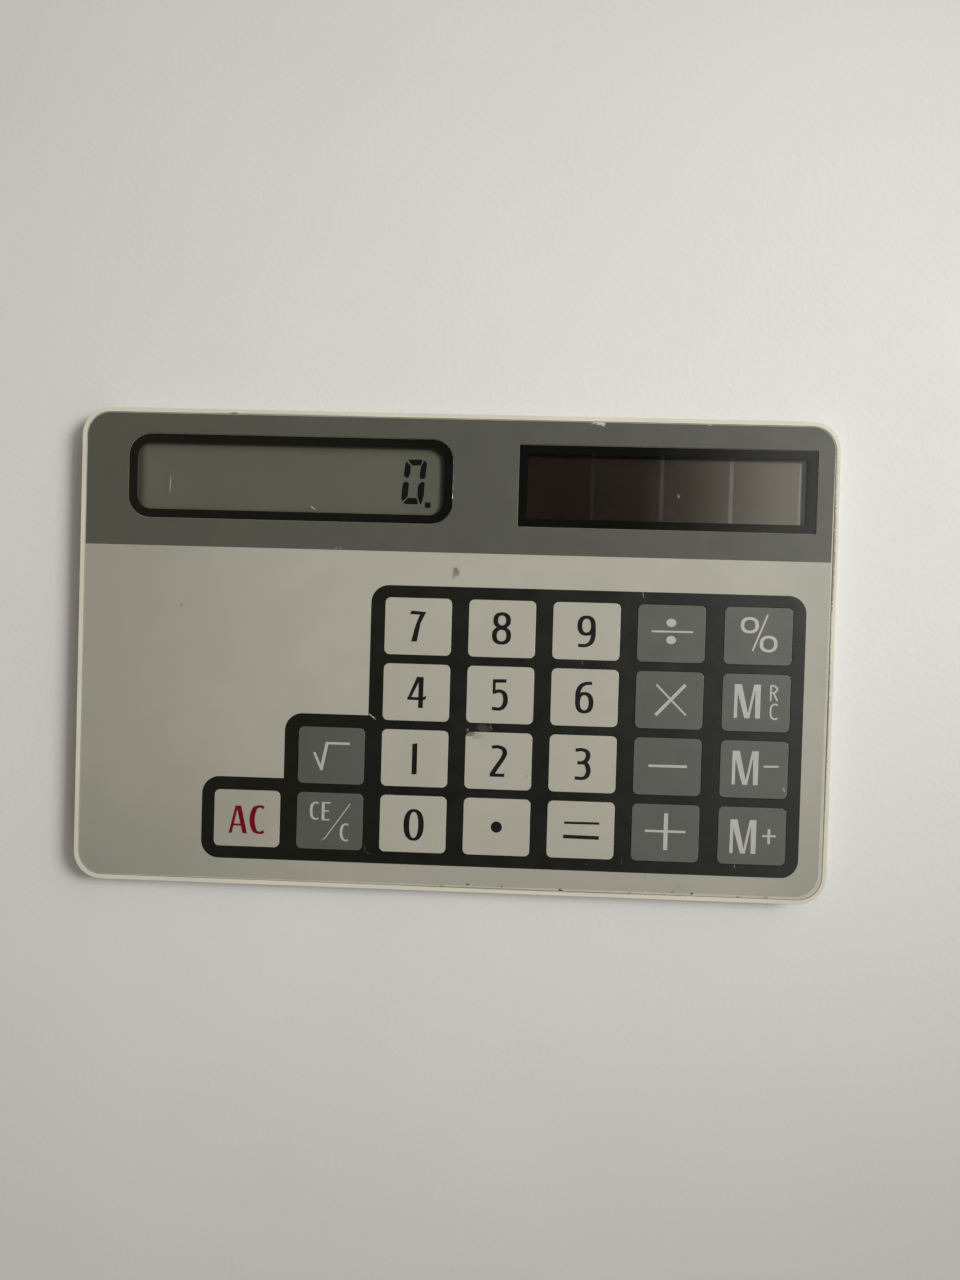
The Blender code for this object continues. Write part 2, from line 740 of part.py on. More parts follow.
def chip_place():
    """The chip's place, set from the board's left and head edges."""
    x = LEFT + BOARD_WALL + BOARD_GAP + CHIP_SIDE_MARGIN + CHIP_RADIUS
    y = BOARD_HEAD - CHIP_HEAD_MARGIN - CHIP_RADIUS
    return x, y


def add_component(name, place, size, material, parts):
    """A small moulded component that hangs under the board."""
    shape = bmesh.new()
    bmesh.ops.create_cube(shape, size=1)
    bmesh.ops.transform(shape, matrix=Matrix.Diagonal((*size, 1)), verts=shape.verts)
    mesh = bpy.data.meshes.new(name)
    shape.to_mesh(mesh)
    shape.free()
    mesh.materials.append(material)
    component = bpy.data.objects.new(name, mesh)
    component.location = (*place, BOARD_LOW - LAYER_GAP - size[2] / 2)
    parts.objects.link(component)
    rounded(component, COMPONENT_EDGE_ROUND, COMPONENT_EDGE_STEPS)


def add_components(parts):
    """The capacitors, the resistor and the diode, set round the chip."""
    x, y = chip_place()
    below = y - CHIP_RADIUS - COMPONENT_GAP
    above = y + CHIP_RADIUS + COMPONENT_GAP
    add_component(
        "storage_capacitor",
        (x, below - STORAGE_CAPACITOR[1] / 2),
        STORAGE_CAPACITOR,
        finish("capacitor_case", (0.45, 0.25, 0.05), 0.4),
        parts,
    )
    add_component(
        "limiter_diode",
        (x, below - STORAGE_CAPACITOR[1] - COMPONENT_GAP - LIMITER_DIODE[1] / 2),
        LIMITER_DIODE,
        finish("diode_case", (0.03, 0.03, 0.03), 0.4),
        parts,
    )
    add_component(
        "reset_capacitor",
        (x - (RESET_CAPACITOR[0] + COMPONENT_GAP) / 2, above + RESET_CAPACITOR[1] / 2),
        RESET_CAPACITOR,
        finish("ceramic_body", (0.40, 0.30, 0.20), 0.5),
        parts,
    )
    add_component(
        "timing_resistor",
        (x + (TIMING_RESISTOR[0] + COMPONENT_GAP) / 2, above + TIMING_RESISTOR[1] / 2),
        TIMING_RESISTOR,
        finish("resistor_body", (0.05, 0.06, 0.10), 0.4),
        parts,
    )


def add_display_ribbon(parts):
    """The flat ribbon from the display's contact ledge to the underside of the board."""
    below = LAYER_GAP + RIBBON_THICKNESS / 2
    view_foot = DISPLAY_Y - DISPLAY_VIEW_WIDTH / 2
    glass_foot = view_foot - GLASS_BORDER - CONTACT_LEDGE
    board_edge = BOARD_HEAD - BOARD_GAP
    path = (
        (view_foot - GLASS_BORDER - RIBBON_CLEARANCE, FRONT_GLASS_LOW - below),
        (glass_foot - RIBBON_CLEARANCE, FRONT_GLASS_LOW - below),
        (board_edge + RIBBON_CLEARANCE, BOARD_LOW - below),
        (board_edge - RIBBON_REACH, BOARD_LOW - below),
    )
    half = DISPLAY_VIEW_LENGTH / 2 - RIBBON_INSET
    shape = bmesh.new()
    verts = [shape.verts.new((DISPLAY_X - half, y, z)) for y, z in path]
    edges = [shape.edges.new(pair) for pair in zip(verts, verts[1:])]
    strip = bmesh.ops.extrude_edge_only(shape, edges=edges)["geom"]
    far = [item for item in strip if isinstance(item, bmesh.types.BMVert)]
    bmesh.ops.translate(shape, verts=far, vec=(2 * half, 0, 0))
    mesh = bpy.data.meshes.new("display_ribbon")
    shape.to_mesh(mesh)
    shape.free()
    mesh.materials.append(finish("ribbon_film", (0.55, 0.35, 0.12), 0.4))
    ribbon = bpy.data.objects.new("display_ribbon", mesh)
    parts.objects.link(ribbon)
    wall = ribbon.modifiers.new("wall", "SOLIDIFY")
    wall.thickness = RIBBON_THICKNESS
    wall.offset = 0


def add_solar_leads(parts):
    """The two wires from the solar cell's backing to the underside of the board."""
    below = LAYER_GAP + LEAD_RADIUS
    start = SOLAR_Y + SOLAR_VIEW_WIDTH / 2 - SOLAR_CUSHION_WIDTH - LEAD_CLEARANCE
    high = SOLAR_Y - SOLAR_VIEW_WIDTH / 2 - SOLAR_BORDER
    low = BOARD_HEAD
    end = BOARD_HEAD - BOARD_GAP - LEAD_REACH
    solar_level = SOLAR_BACKING_LOW - below
    board_level = BOARD_LOW - below
    for name, x in zip(("solar_lead_positive", "solar_lead_negative"), lead_places()):
        points = [(x, start, solar_level)]
        for step in range(LEAD_STEPS + 1):
            along = step / LEAD_STEPS
            rise = (1 - cos(pi * along)) / 2
            points.append((x, high + (low - high) * along, solar_level + (board_level - solar_level) * rise))
        points.append((x, end, board_level))
        curve = bpy.data.curves.new(name, "CURVE")
        curve.dimensions = "3D"
        curve.bevel_depth = LEAD_RADIUS
        curve.bevel_resolution = LEAD_ROUND_STEPS
        curve.use_fill_caps = True
        spline = curve.splines.new("POLY")
        spline.points.add(len(points) - 1)
        for point, place in zip(spline.points, points):
            point.co = Vector(place).to_4d()
        curve.materials.append(finish(name + "_wire", (0.55, 0.50, 0.42), 0.3, 1.0))
        parts.objects.link(bpy.data.objects.new(name, curve))


def main():
    for thing in list(bpy.data.objects):
        bpy.data.objects.remove(thing)
    parts = new_collection("solar_calculator")
    cutters = new_collection("cutters")
    frame = add_case_frame(parts, cutters)
    cover = add_rear_cover(parts, cutters)
    add_sheets(parts)
    add_keys(parts, cutters)
    add_panes(parts)
    add_display(parts)
    add_solar_cell(parts)
    add_board(parts)
    add_chip_cover(parts)
    add_components(parts)
    add_display_ribbon(parts)
    add_solar_leads(parts)
    for solid in (frame, cover):
        smooth(solid)


main()
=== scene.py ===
"""The looks of a card sized solar calculator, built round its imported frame.

Each operator makes one piece or one group of like pieces. Lengths are in metres on the frame's own axes:
+X along the card, +Y towards the header with the display, +Z out of the face.
"""

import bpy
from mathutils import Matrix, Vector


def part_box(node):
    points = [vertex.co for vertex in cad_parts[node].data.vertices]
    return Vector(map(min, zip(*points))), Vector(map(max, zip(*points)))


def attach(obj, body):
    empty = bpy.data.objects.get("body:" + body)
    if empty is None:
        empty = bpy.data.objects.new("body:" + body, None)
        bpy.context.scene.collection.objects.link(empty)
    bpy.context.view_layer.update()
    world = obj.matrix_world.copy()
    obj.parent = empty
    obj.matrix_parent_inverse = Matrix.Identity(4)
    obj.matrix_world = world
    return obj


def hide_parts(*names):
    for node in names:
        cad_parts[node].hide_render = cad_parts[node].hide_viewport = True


bl_info = {
    "name": "Card Solar Calculator",
    "version": (1, 0, 0),
    "blender": (4, 5, 0),
    "location": "3D View > Sidebar > Calculator",
    "description": "Builds the film, keys, panes, display and solar cell of a card sized calculator",
    "category": "Add Mesh",
}

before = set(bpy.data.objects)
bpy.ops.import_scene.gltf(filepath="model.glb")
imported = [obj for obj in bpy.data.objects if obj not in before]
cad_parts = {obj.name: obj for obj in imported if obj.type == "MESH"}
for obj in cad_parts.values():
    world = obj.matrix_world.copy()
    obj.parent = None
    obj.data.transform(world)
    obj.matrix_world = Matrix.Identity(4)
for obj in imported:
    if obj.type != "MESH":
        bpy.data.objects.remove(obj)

from math import copysign, hypot, radians

import bmesh
import bpy
from bpy.props import FloatProperty, FloatVectorProperty, PointerProperty
from mathutils import Euler, Matrix, Vector
from mathutils.geometry import interpolate_bezier

UP = Vector((0, 0, 1))
# The level at which an outline is drawn, before it becomes a plate
FLAT = 0.0
# Points that are closer than this are one
WELD = 1e-7
MM = 0.001

CELL_COUNT = 4
KEY_NAMES = tuple(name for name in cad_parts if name.startswith("key_"))
DARK_KEYS = (
    "key_square_root",
    "key_clear_entry",
    "key_divide",
    "key_multiply",
    "key_minus",
    "key_plus",
    "key_percent",
    "key_memory_recall",
    "key_memory_minus",
    "key_memory_plus",
)

# Segments in a rounded corner
FILM_STEPS = 12
PANE_STEPS = 10
OPENING_STEPS = 8
KEY_STEPS = 6
SMALL_STEPS = 4
SEGMENT_STEPS = 2
# Segments in a rounded upper edge
KEY_EDGE_STEPS = 3
PANE_EDGE_STEPS = 2
# A smooth line's handles are a sixth of the way between the neighbours of a point
HANDLE_PARTS = 6
# An upright face's normal rises less than this
UPRIGHT = 0.5

# Material slots of the film
HEADER, FIELD, BLACK, BARE = range(4)
# Material slots of the keys and of the display's face
GROUND, PRINTED, CONTACT = range(3)
# How deep a legend reaches into its key, in times its own height
INK_DEPTH = 3
# Gap between a pane and its printed border, as a share of the print's thickness
PRINT_GAP_SHARE = 0.1

# The camera's focal length and image height in pixels
PHOTO_FOCAL_PIXELS = 1000
PHOTO_HEIGHT_PIXELS = 1280

BACKDROP = (0.62, 0.62, 0.60, 1.0)
# The dome from left to right: a place from 0 to 1, a level of light and how blue it is
DOME_LEVELS = (
    (0.001, 0.50, 0.66),
    (0.25, 0.30, 0.66),
    (0.35, 0.12, 0.7),
    (0.42, 0.11, 0.85),
    (0.48, 0.035, 0.9),
    (0.56, 0.016, 0.8),
    (0.59, 0.24, 0.88),
    (0.625, 0.90, 0.96),
    (0.65, 1.2, 0.97),
    (0.90, 1.1, 0.97),
    (0.999, 0.8, 0.97),
)
# Where the dome's light falls off towards the near side, on a scale from -1 to 1
NEAR_SIDE_REACH = (-0.45, 0.02)
# A mirror shows the backdrop below the first height of the dome and its levels above the second
MIRRORED_REACH = (0.45, 0.75)

# Each finish: its roughness, how far its colour drifts, over what length, and its grain's length and depth
FINISHES = {
    "cream_plastic": (0.42, 0.05, 0.009, 0.00012, 0.0000025),
    "cover_plastic": (0.55, 0.05, 0.012, 0.0002, 0.000006),
    "header_print": (0.33, 0.03, 0.006, 0.00015, 0.000002),
    "field_print": (0.36, 0.025, 0.006, 0.00015, 0.000002),
    "black_print": (0.30, 0.15, 0.006, 0.00015, 0.000002),
    "bare_film_edge": (0.25, 0.08, 0.003, 0.00015, 0.000002),
    "light_key_print": (0.33, 0.02, 0.006, 0.00015, 0.000002),
    "dark_key_print": (0.33, 0.03, 0.006, 0.00015, 0.000002),
    "black_ink": (0.30, 0.2, 0.001, 0.00008, 0.000002),
    "pale_ink": (0.38, 0.04, 0.001, 0.00008, 0.000002),
    "red_ink": (0.34, 0.06, 0.001, 0.00008, 0.000002),
    "contact_carbon": (0.6, 0.2, 0.001, 0.00008, 0.000002),
    "border_print": (0.3, 0.05, 0.006, 0.00015, 0.0),
    "polarizer": (0.34, 0.03, 0.008, 0.00005, 0.0000006),
    "lit_segment": (0.25, 0.2, 0.002, 0.00015, 0.000002),
    "display_glass": (0.12, 0.05, 0.01, 0.00015, 0.000002),
    "reflector": (0.4, 0.05, 0.008, 0.00015, 0.000002),
    "ribbon_film": (0.35, 0.1, 0.002, 0.00015, 0.000002),
    "solar_silicon": (0.16, 0.2, 0.01, 0.0001, 0.0000002),
    "solar_backing": (0.16, 0.06, 0.004, 0.00015, 0.000002),
    "lead_wire": (0.28, 0.1, 0.001, 0.00015, 0.000002),
    "adhesive": (0.7, 0.08, 0.003, 0.00015, 0.000002),
    "spacer_plastic": (0.4, 0.03, 0.01, 0.00015, 0.000002),
    "board_laminate": (0.4, 0.15, 0.002, 0.00015, 0.000002),
    "black_resin": (0.22, 0.1, 0.002, 0.00015, 0.000002),
    "component_case": (0.45, 0.12, 0.001, 0.00015, 0.000002),
    "foam": (0.95, 0.3, 0.0008, 0.0002, 0.00004),
    "pale_floor": (0.6, 0.012, 0.03, 0.0006, 0.00001),
}
# A noise texture's values lie mostly between these
NOISE_REACH = (0.3, 0.7)
# How far a finish's gloss and a clear finish's smear vary, as shares of their roughness
GLOSS_SHARES = (0.88, 1.12)
SMEAR_SHARES = (0.6, 1.6)
SMEAR_PATCH = 0.004
# Pale specks of dust: cells to a metre, how far a speck fades in its cell, and how much lighter it is
DUST_CELLS = 900.0
DUST_REACH = (0.03, 0.07)
DUST_LIGHTNESS = 1.9
# The ragged edge of a mark: its grain, how far it strays and where it fades, as shares of the mark
MARK_GRAIN = 0.00016
MARK_STRAY_SHARE = 0.45
MARK_FADE_SHARES = (0.75, 1.15)
MARK_COLOURS = {
    "pale": (0.50, 0.48, 0.42, 1.0),
    "dark": (0.012, 0.012, 0.010, 1.0),
    # Dark spots of dirt, and on the frame painted shade in the seam between the film and the frame
    "grime_and_seam_shade": (0.10, 0.09, 0.07, 1.0),
    # Brown painted shade in the seam between the film and the frame
    "seam_shade": (0.12, 0.075, 0.045, 1.0),
}
SCRATCH_COLOUR = (0.6, 0.6, 0.56, 1.0)
ACRYLIC_IOR = 1.49
# How a clear pane looks in the solid view
SOLID_VIEW_PANE = (0.8, 0.8, 0.78, 0.3)
BLACK_SHADE = (0, 0, 0, 1)

# The key legends. Their places are hundredths of a numeral's height, from the middle of the key.
SHARE = 0.01
NUMERAL_PEN_SHARES = (7.6, 5.2)
ROUND_PEN_SHARES = (9.0, 4.6)
SIGN_PEN_SHARES = (5.5, 4.3)
CAPITAL_PEN_SHARES = (4.3, 2.4)
FINE_PEN_SHARES = (2.9, 2.6)
BOLD_PEN_SHARES = (8.4, 3.7)
LEGEND_SHARES = {
    "key_7": [
        ("shape", [(-22, 50), (25, 47), (8, 12), (-3, -48), (-21, -48), (-8, 4), (5, 38), (-27, 39)]),
    ],
    "key_8": [
        ("ring", (-0.5, 27), (20.3, 20.6), NUMERAL_PEN_SHARES),
        ("ring", (-1, -21.4), (22.8, 23.4), NUMERAL_PEN_SHARES),
    ],
    "key_9": [
        ("ring", (0, 18), (21.3, 27), NUMERAL_PEN_SHARES),
        ("curve", [(21.5, 20), (21.5, -16), (14, -36), (-2, -45), (-25, -45)], NUMERAL_PEN_SHARES),
    ],
    "key_4": [
        ("shape", [(7, 50), (22.5, 50), (22, -49), (7, -49)]),
        ("shape", [(1, 50), (11, 50), (8, 35), (-16, -15), (-20, -24), (-28, -20)]),
        ("shape", [(-28, -14.5), (22, -14.5), (33, -9), (30, -21), (22, -24), (-28, -24)]),
    ],
    "key_5": [
        ("shape", [(-23.5, 50), (19.5, 51), (18, 40), (-23.5, 39)]),
        ("shape", [(-24, 50), (-15, 50), (-15, 8), (-24, 2)]),
        ("curve", [(-21, 8), (-4, 13), (12, 6), (17.5, -13), (14, -32), (0, -44), (-25, -43)],
         NUMERAL_PEN_SHARES),
    ],
    "key_6": [
        ("ring", (0, -16), (21.3, 29), NUMERAL_PEN_SHARES),
        ("curve", [(-21.5, -16), (-21, 15), (-13, 35), (3, 45), (23, 46)], NUMERAL_PEN_SHARES),
    ],
    "key_1": [("shape", [(-8, 46), (8, 49), (8, -51), (-8, -51)])],
    "key_2": [
        ("curve", [(-21, 44), (-4, 46), (13, 41), (20, 29), (16, 13), (0, -12), (-19, -42)],
         NUMERAL_PEN_SHARES),
        ("shape", [(-26, -39), (17, -40), (21, -36), (20, -50), (-26, -50)]),
    ],
    "key_3": [
        ("curve", [(-23, 43), (-4, 45.5), (12, 40), (17, 27), (12, 12), (-1, 4), (-16, 3.5)],
         NUMERAL_PEN_SHARES),
        ("curve", [(-3, 4), (12, 0), (19, -20), (14, -38), (0, -46), (-23, -45)], NUMERAL_PEN_SHARES),
    ],
    "key_0": [("ring", (3.2, -2.4), (23.4, 46.3), ROUND_PEN_SHARES)],
    "key_point": [("dot", (0, 0), (17.9, 17.9))],
    "key_equals": [
        ("shape", [(-52, 18), (59, 19), (59, 26.5), (-52, 25.5)]),
        ("shape", [(-54, -28), (59, -29), (59, -17.5), (-54, -16.5)]),
    ],
    "key_divide": [
        ("shape", [(-62.5, 3.2), (68, 4), (68, 9.8), (-62.5, 9)]),
        ("dot", (-1, 34.4), (15.6, 12.9)),
        ("dot", (0, -19.8), (15.4, 12.7)),
    ],
    "key_percent": [
        ("ring", (-27.6, 33.9), (23, 21.3), SIGN_PEN_SHARES),
        ("ring", (32.8, -23.8), (22.4, 22.1), SIGN_PEN_SHARES),
        ("bar", (28, 68.5), (-17, -47.5), 5.8),
    ],
    "key_multiply": [
        ("bar", (-42, 48.5), (53.5, -46), 6),
        ("bar", (49.5, 50.5), (-42, -48), 10.2),
    ],
    "key_minus": [("shape", [(-59, -2.5), (62, -2), (62, 6), (-59, 5.5)])],
    "key_plus": [
        ("shape", [(-64, 1.5), (64, 1.5), (64, 9), (-64, 9)]),
        ("shape", [(-5, 63), (8, 63), (8, -54), (-5, -54)]),
    ],
    "key_square_root": [
        ("shape", [(-59, 9), (-51, 10), (-33.5, -29), (-18.5, 43.5), (58.5, 43.5), (58.5, 36), (-10, 36),
                   (-26.6, -47.5), (-33.8, -47.5)]),
    ],
    "key_clear_entry": [
        ("curve", [(-37, 56), (-47, 58.5), (-57.5, 50), (-60, 32), (-57.5, 14), (-47, 5.5), (-37, 8)],
         CAPITAL_PEN_SHARES),
        ("shape", [(-26, 61), (-17, 61), (-17, 2), (-26, 2)]),
        ("shape", [(-22, 61), (2, 61), (2, 56.5), (-22, 56.5)]),
        ("shape", [(-22, 34.5), (-2.5, 34.5), (-2.5, 30), (-22, 30)]),
        ("shape", [(-22, 6.5), (-1, 6.5), (-1, 2), (-22, 2)]),
        ("bar", (65.5, 58.5), (-17, -59.5), 3.2),
        ("curve", [(61, -10), (51.5, -7.5), (41, -16), (38, -34), (41, -52), (51.5, -60.5), (61, -58)],
         CAPITAL_PEN_SHARES),
    ],
    "key_all_clear": [
        ("shape", [(-37.5, 40), (-29, 40), (-48, -49), (-58, -49)]),
        ("shape", [(-35, 40), (-19, 40), (1.4, -49), (-13, -49), (-31.5, 27)]),
        ("shape", [(-49, -18), (-12, -18), (-10, -24.5), (-51, -24.5)]),
        ("curve", [(55, 35), (42, 39.5), (25, 31), (17, -3), (25, -37), (42, -45.5), (56, -41)],
         BOLD_PEN_SHARES),
    ],
}
MEMORY_SHARES = [
    ("shape", [(-68.5, 58), (-58.5, 58), (-58.5, -49), (-69, -49)]),
    ("shape", [(-66.5, 58), (-46, 58), (-21.5, -49), (-35.5, -49)]),
    ("shape", [(-7.5, 58), (0, 58), (-20, -49), (-28, -49)]),
    ("shape", [(-4, 58), (13.5, 58), (13, -49), (-2, -49)]),
]
MEMORY_SIGN_SHARES = {
    "key_memory_recall": [
        ("bar", (45, 58), (45, 8), 5.4),
        ("curve", [(43, 55.5), (56, 55), (65, 45), (56, 34.5), (43, 34)], FINE_PEN_SHARES),
        ("bar", (53, 34), (66, 8), 5.4),
        ("curve", [(67.5, -5), (59, -2.5), (48.5, -9), (45.5, -26), (48.5, -43), (59, -49.5), (67.5, -47)],
         FINE_PEN_SHARES),
    ],
    "key_memory_minus": [("shape", [(30, 7.5), (77, 8.6), (77, 14.8), (30, 13.7)])],
    "key_memory_plus": [
        ("shape", [(32.5, -2), (76, -1), (76, 5), (32.5, 4.5)]),
        ("shape", [(49, 24), (57.8, 24), (57.8, -23.5), (49, -23.5)]),
    ],
}
# How far the letter stands lower on a memory key than on the others
MEMORY_DROP_SHARES = {"key_memory_recall": 0, "key_memory_minus": 0, "key_memory_plus": 7}

# The lit segments of the display's nought and its point, in hundredths of the digit's height from its middle.
DIGIT_SHARES = [
    ("shape", [(-15.4, 50.3), (17.8, 50.7), (14, 37.4), (-6.2, 37)]),
    ("shape", [(-18.4, 46.2), (-9.2, 36.4), (-9.2, 19), (-15.2, 7), (-24.2, 13), (-21.4, 41)]),
    ("shape", [(22.4, 49.4), (28.2, 42.2), (25, 7.6), (13.2, 6.4), (12, 14.7), (14.4, 35)]),
    ("shape", [(-18.8, 1.6), (-11.8, -4.6), (-14.2, -33.8), (-25.6, -45.2), (-28.6, -39.4), (-26.6, -5)]),
    ("shape", [(17.2, 1), (24.2, -1.8), (22.6, -31), (17.6, -50.2), (13.8, -49.6), (8, -31.4), (8.7, -8.2)]),
    ("shape", [(-24.2, -48.6), (-20, -51.2), (10, -51.2), (6.6, -37), (-14, -37)]),
    ("shape", [(25.5, -46.4), (38.9, -46.2), (38.5, -58.8), (25.7, -59)]),
]

# Marks of use, and painted shade in the seam between the film and the frame: a kind, a place on the card in
# millimetres, a length and width, a turn in degrees, a depth
HEADER_MARKS = (
    ("pale", (16.0, 26.36), (0.62, 0.28), -12, 0.9),
    ("pale", (15.5, 26.42), (0.5, 0.12), 20, 0.8),
    ("pale", (28.2, 26.42), (0.3, 0.1), 0, 0.7),
    ("dark", (-17.6, 26.44), (0.7, 0.08), 0, 0.3),
    ("pale", (-13.4, 11.6), (0.2, 0.07), 45, 0.28),
    ("pale", (-12.9, 11.6), (0.2, 0.07), -45, 0.22),
)
FIELD_MARKS = (
    ("grime_and_seam_shade", (0.3, 9.3), (0.34, 0.55), 20, 0.75),
    ("grime_and_seam_shade", (0.05, 8.75), (0.2, 0.3), 0, 0.5),
    ("dark", (-0.36, -26.35), (0.15, 0.07), 0, 0.7),
    ("pale", (0.15, -26.3), (0.24, 0.08), 0, 0.7),
    ("dark", (2.61, -26.12), (0.17, 0.11), 0, 0.85),
    ("dark", (6.48, -26.2), (0.15, 0.08), 0, 0.6),
    ("dark", (7.15, -26.15), (0.1, 0.07), 0, 0.35),
    ("dark", (13.1, -26.35), (0.3, 0.1), -8, 0.9),
    ("dark", (20.84, -26.38), (0.14, 0.08), 0, 0.5),
    ("pale", (21.25, -26.4), (0.12, 0.07), 0, 0.6),
    ("dark", (25.73, -26.1), (0.2, 0.07), 0, 0.55),
    ("grime_and_seam_shade", (26.38, -25.48), (0.14, 0.17), 0, 0.35),
    ("dark", (27.86, -26.2), (0.17, 0.1), 0, 0.9),
    ("pale", (28.2, -26.28), (0.11, 0.09), 0, 0.9),
    ("dark", (32.99, -26.4), (0.14, 0.1), 0, 0.7),
    ("dark", (36.11, -26.35), (0.22, 0.15), 0, 0.5),
    ("pale", (36.11, -26.35), (0.12, 0.09), 0, 0.9),
    ("grime_and_seam_shade", (22.54, -24.56), (0.12, 0.12), 0, 0.4),
    ("grime_and_seam_shade", (-31.0, 4.6), (0.12, 0.12), 0, 0.6),
)
BLACK_MARKS = (
    ("pale", (-8.7, -7.45), (0.42, 0.06), -38, 0.8),
    ("pale", (3.9, -8.35), (0.75, 0.45), -10, 0.07),
    ("pale", (2.1, -8.6), (0.12, 0.14), 0, 0.3),
    ("pale", (4.75, -8.2), (0.07, 0.35), 20, 0.2),
    ("pale", (21.4, 7.25), (0.045, 0.4), 12, 0.36),
    ("pale", (14.8, -0.6), (0.035, 0.22), 0, 0.22),
    ("pale", (16.01, -23.33), (0.08, 0.05), 0, 0.22),
    ("pale", (19.89, -22.93), (0.04, 0.45), 0, 0.08),
    ("pale", (32.52, -22.95), (0.045, 0.27), 0, 0.3),
    ("pale", (-9.2, -22.5), (0.04, 0.45), 2, 0.1),
    ("pale", (-8.8, -23.0), (0.2, 0.08), 0, 0.1),
)
LIGHT_KEY_MARKS = (
    ("grime_and_seam_shade", (2.4, -8.95), (0.55, 0.32), 20, 0.85),
    ("grime_and_seam_shade", (3.2, -9.2), (0.7, 0.4), 0, 0.3),
    ("dark", (8.9, -13.6), (0.07, 0.14), 0, 0.6),
    ("dark", (17.01, -22.45), (0.06, 0.07), 0, 0.7),
)
DARK_KEY_MARKS = (
    ("pale", (37.75, -14.15), (0.055, 0.27), 14, 0.7),
    ("dark", (27.75, -2.6), (0.08, 0.36), -6, 0.45),
    ("dark", (37.75, -2.7), (0.11, 0.13), 0, 0.45),
    ("pale", (-14.0, -21.5), (0.4, 0.04), 35, 0.3),
)
PANE_MARKS = (
    ("pale", (-32.6, 18.4), (0.05, 1.0), -2, 0.22),
    ("pale", (-16.2, 16.1), (0.35, 0.05), -35, 0.35),
    ("pale", (25.05, 18.35), (0.07, 0.07), 0, 0.6),
    ("pale", (24.95, 18.6), (0.04, 0.04), 0, 0.5),
)
# The long thin lines along the film's edges, dark and brown, are painted shade in the seam between the film
# and the frame; the short mark at the head is a nick
FRAME_MARKS = (
    ("grime_and_seam_shade", (-25.44, 26.56), (0.4, 0.1), 0, 0.75),
    ("seam_shade", (42.34, 12.0), (0.16, 6.5), 0, 0.75),
    ("seam_shade", (42.34, 20.5), (0.12, 3.5), 0, 0.45),
    ("seam_shade", (42.3, -4.0), (0.12, 9.0), 0, 0.5),
    ("grime_and_seam_shade", (42.34, -10.0), (0.1, 9.0), 0, 0.4),
    ("grime_and_seam_shade", (10.0, -26.5), (16.0, 0.1), 0, 0.4),
    ("grime_and_seam_shade", (-20.0, 26.55), (9.0, 0.09), 0, 0.25),
)


def size_property(label, help_text, value):
    """A length that the panel shows in metres."""
    return FloatProperty(name=label, description=help_text, default=value, unit="LENGTH", precision=6)


def share_property(label, help_text, value):
    """A share between nothing and the whole."""
    return FloatProperty(name=label, description=help_text, default=value, subtype="FACTOR", min=0, max=1)


def colour_property(label, thing, value):
    """The colour of a thing, which the panel shows with the colour picker."""
    return FloatVectorProperty(
        name=label, description=f"Colour of the {thing}", default=value, subtype="COLOR", min=0, max=1, size=3
    )


def place_property(label, help_text, value):
    """A place in space."""
    return FloatVectorProperty(
        name=label, description=help_text, default=value, subtype="TRANSLATION", unit="LENGTH", size=3
    )


class CalculatorFilm(bpy.types.PropertyGroup):
    """Sizes and colours of the printed face film."""

    corner: size_property("Film corner", "Radius of the film's corners", 0.00263)
    edge_margin: size_property("Edge margin", "Bare film beside the print at the left and the top", 0.00005)
    right_margin: size_property("Right margin", "Bare film at the right, at the end near the foot", 0.00042)
    foot_margin: size_property("Foot margin", "Bare film at the foot, at the end near the right", 0.00028)
    header: size_property("Header", "Depth of the grey header from the film's top edge", 0.01507)
    field_top: size_property("Field top", "Black print above the keys", 0.00137)
    field_right: size_property("Field right", "Black print at the right of the keys", 0.00146)
    field_foot: size_property("Field foot", "Black print below the keys", 0.00139)
    field_left: size_property("Field left", "Black print at the left of the keys", 0.0016)
    field_end: size_property("Field end", "Black print at the left of the lowest row", 0.00144)
    field_step: size_property("Field step", "Black print above the first key of a longer row", 0.0015)
    field_corner: size_property("Field corner", "Radius of the black print's corners", 0.0020)
    seam: size_property("Seam", "Gap between the film and a key or a pane", 0.00005)
    # Painted shade on the field print: darker towards the left, the right and the foot, over these reaches
    # and by these shares
    field_shade: size_property("Field fade", "From the left edge to where the field is at its palest", 0.033)
    edge_shade: size_property("Edge fade", "From the right edge to where the field is at its palest", 0.010)
    foot_shade: size_property("Foot fade", "From the foot to where the field is at its palest", 0.016)
    field_shade_share: share_property("Field fade share", "How much darker the field is at the left", 0.18)
    edge_shade_share: share_property("Edge fade share", "How much darker the right and the foot are", 0.12)
    header_colour: colour_property("Header", "header print", (0.074, 0.0765, 0.062))
    field_colour: colour_property("Field", "grey beige print", (0.350, 0.344, 0.290))
    black_colour: colour_property("Black", "black print", (0.0044, 0.0050, 0.0030))
    margin_colour: colour_property("Margin", "bare edge of the film", (0.42, 0.40, 0.33))


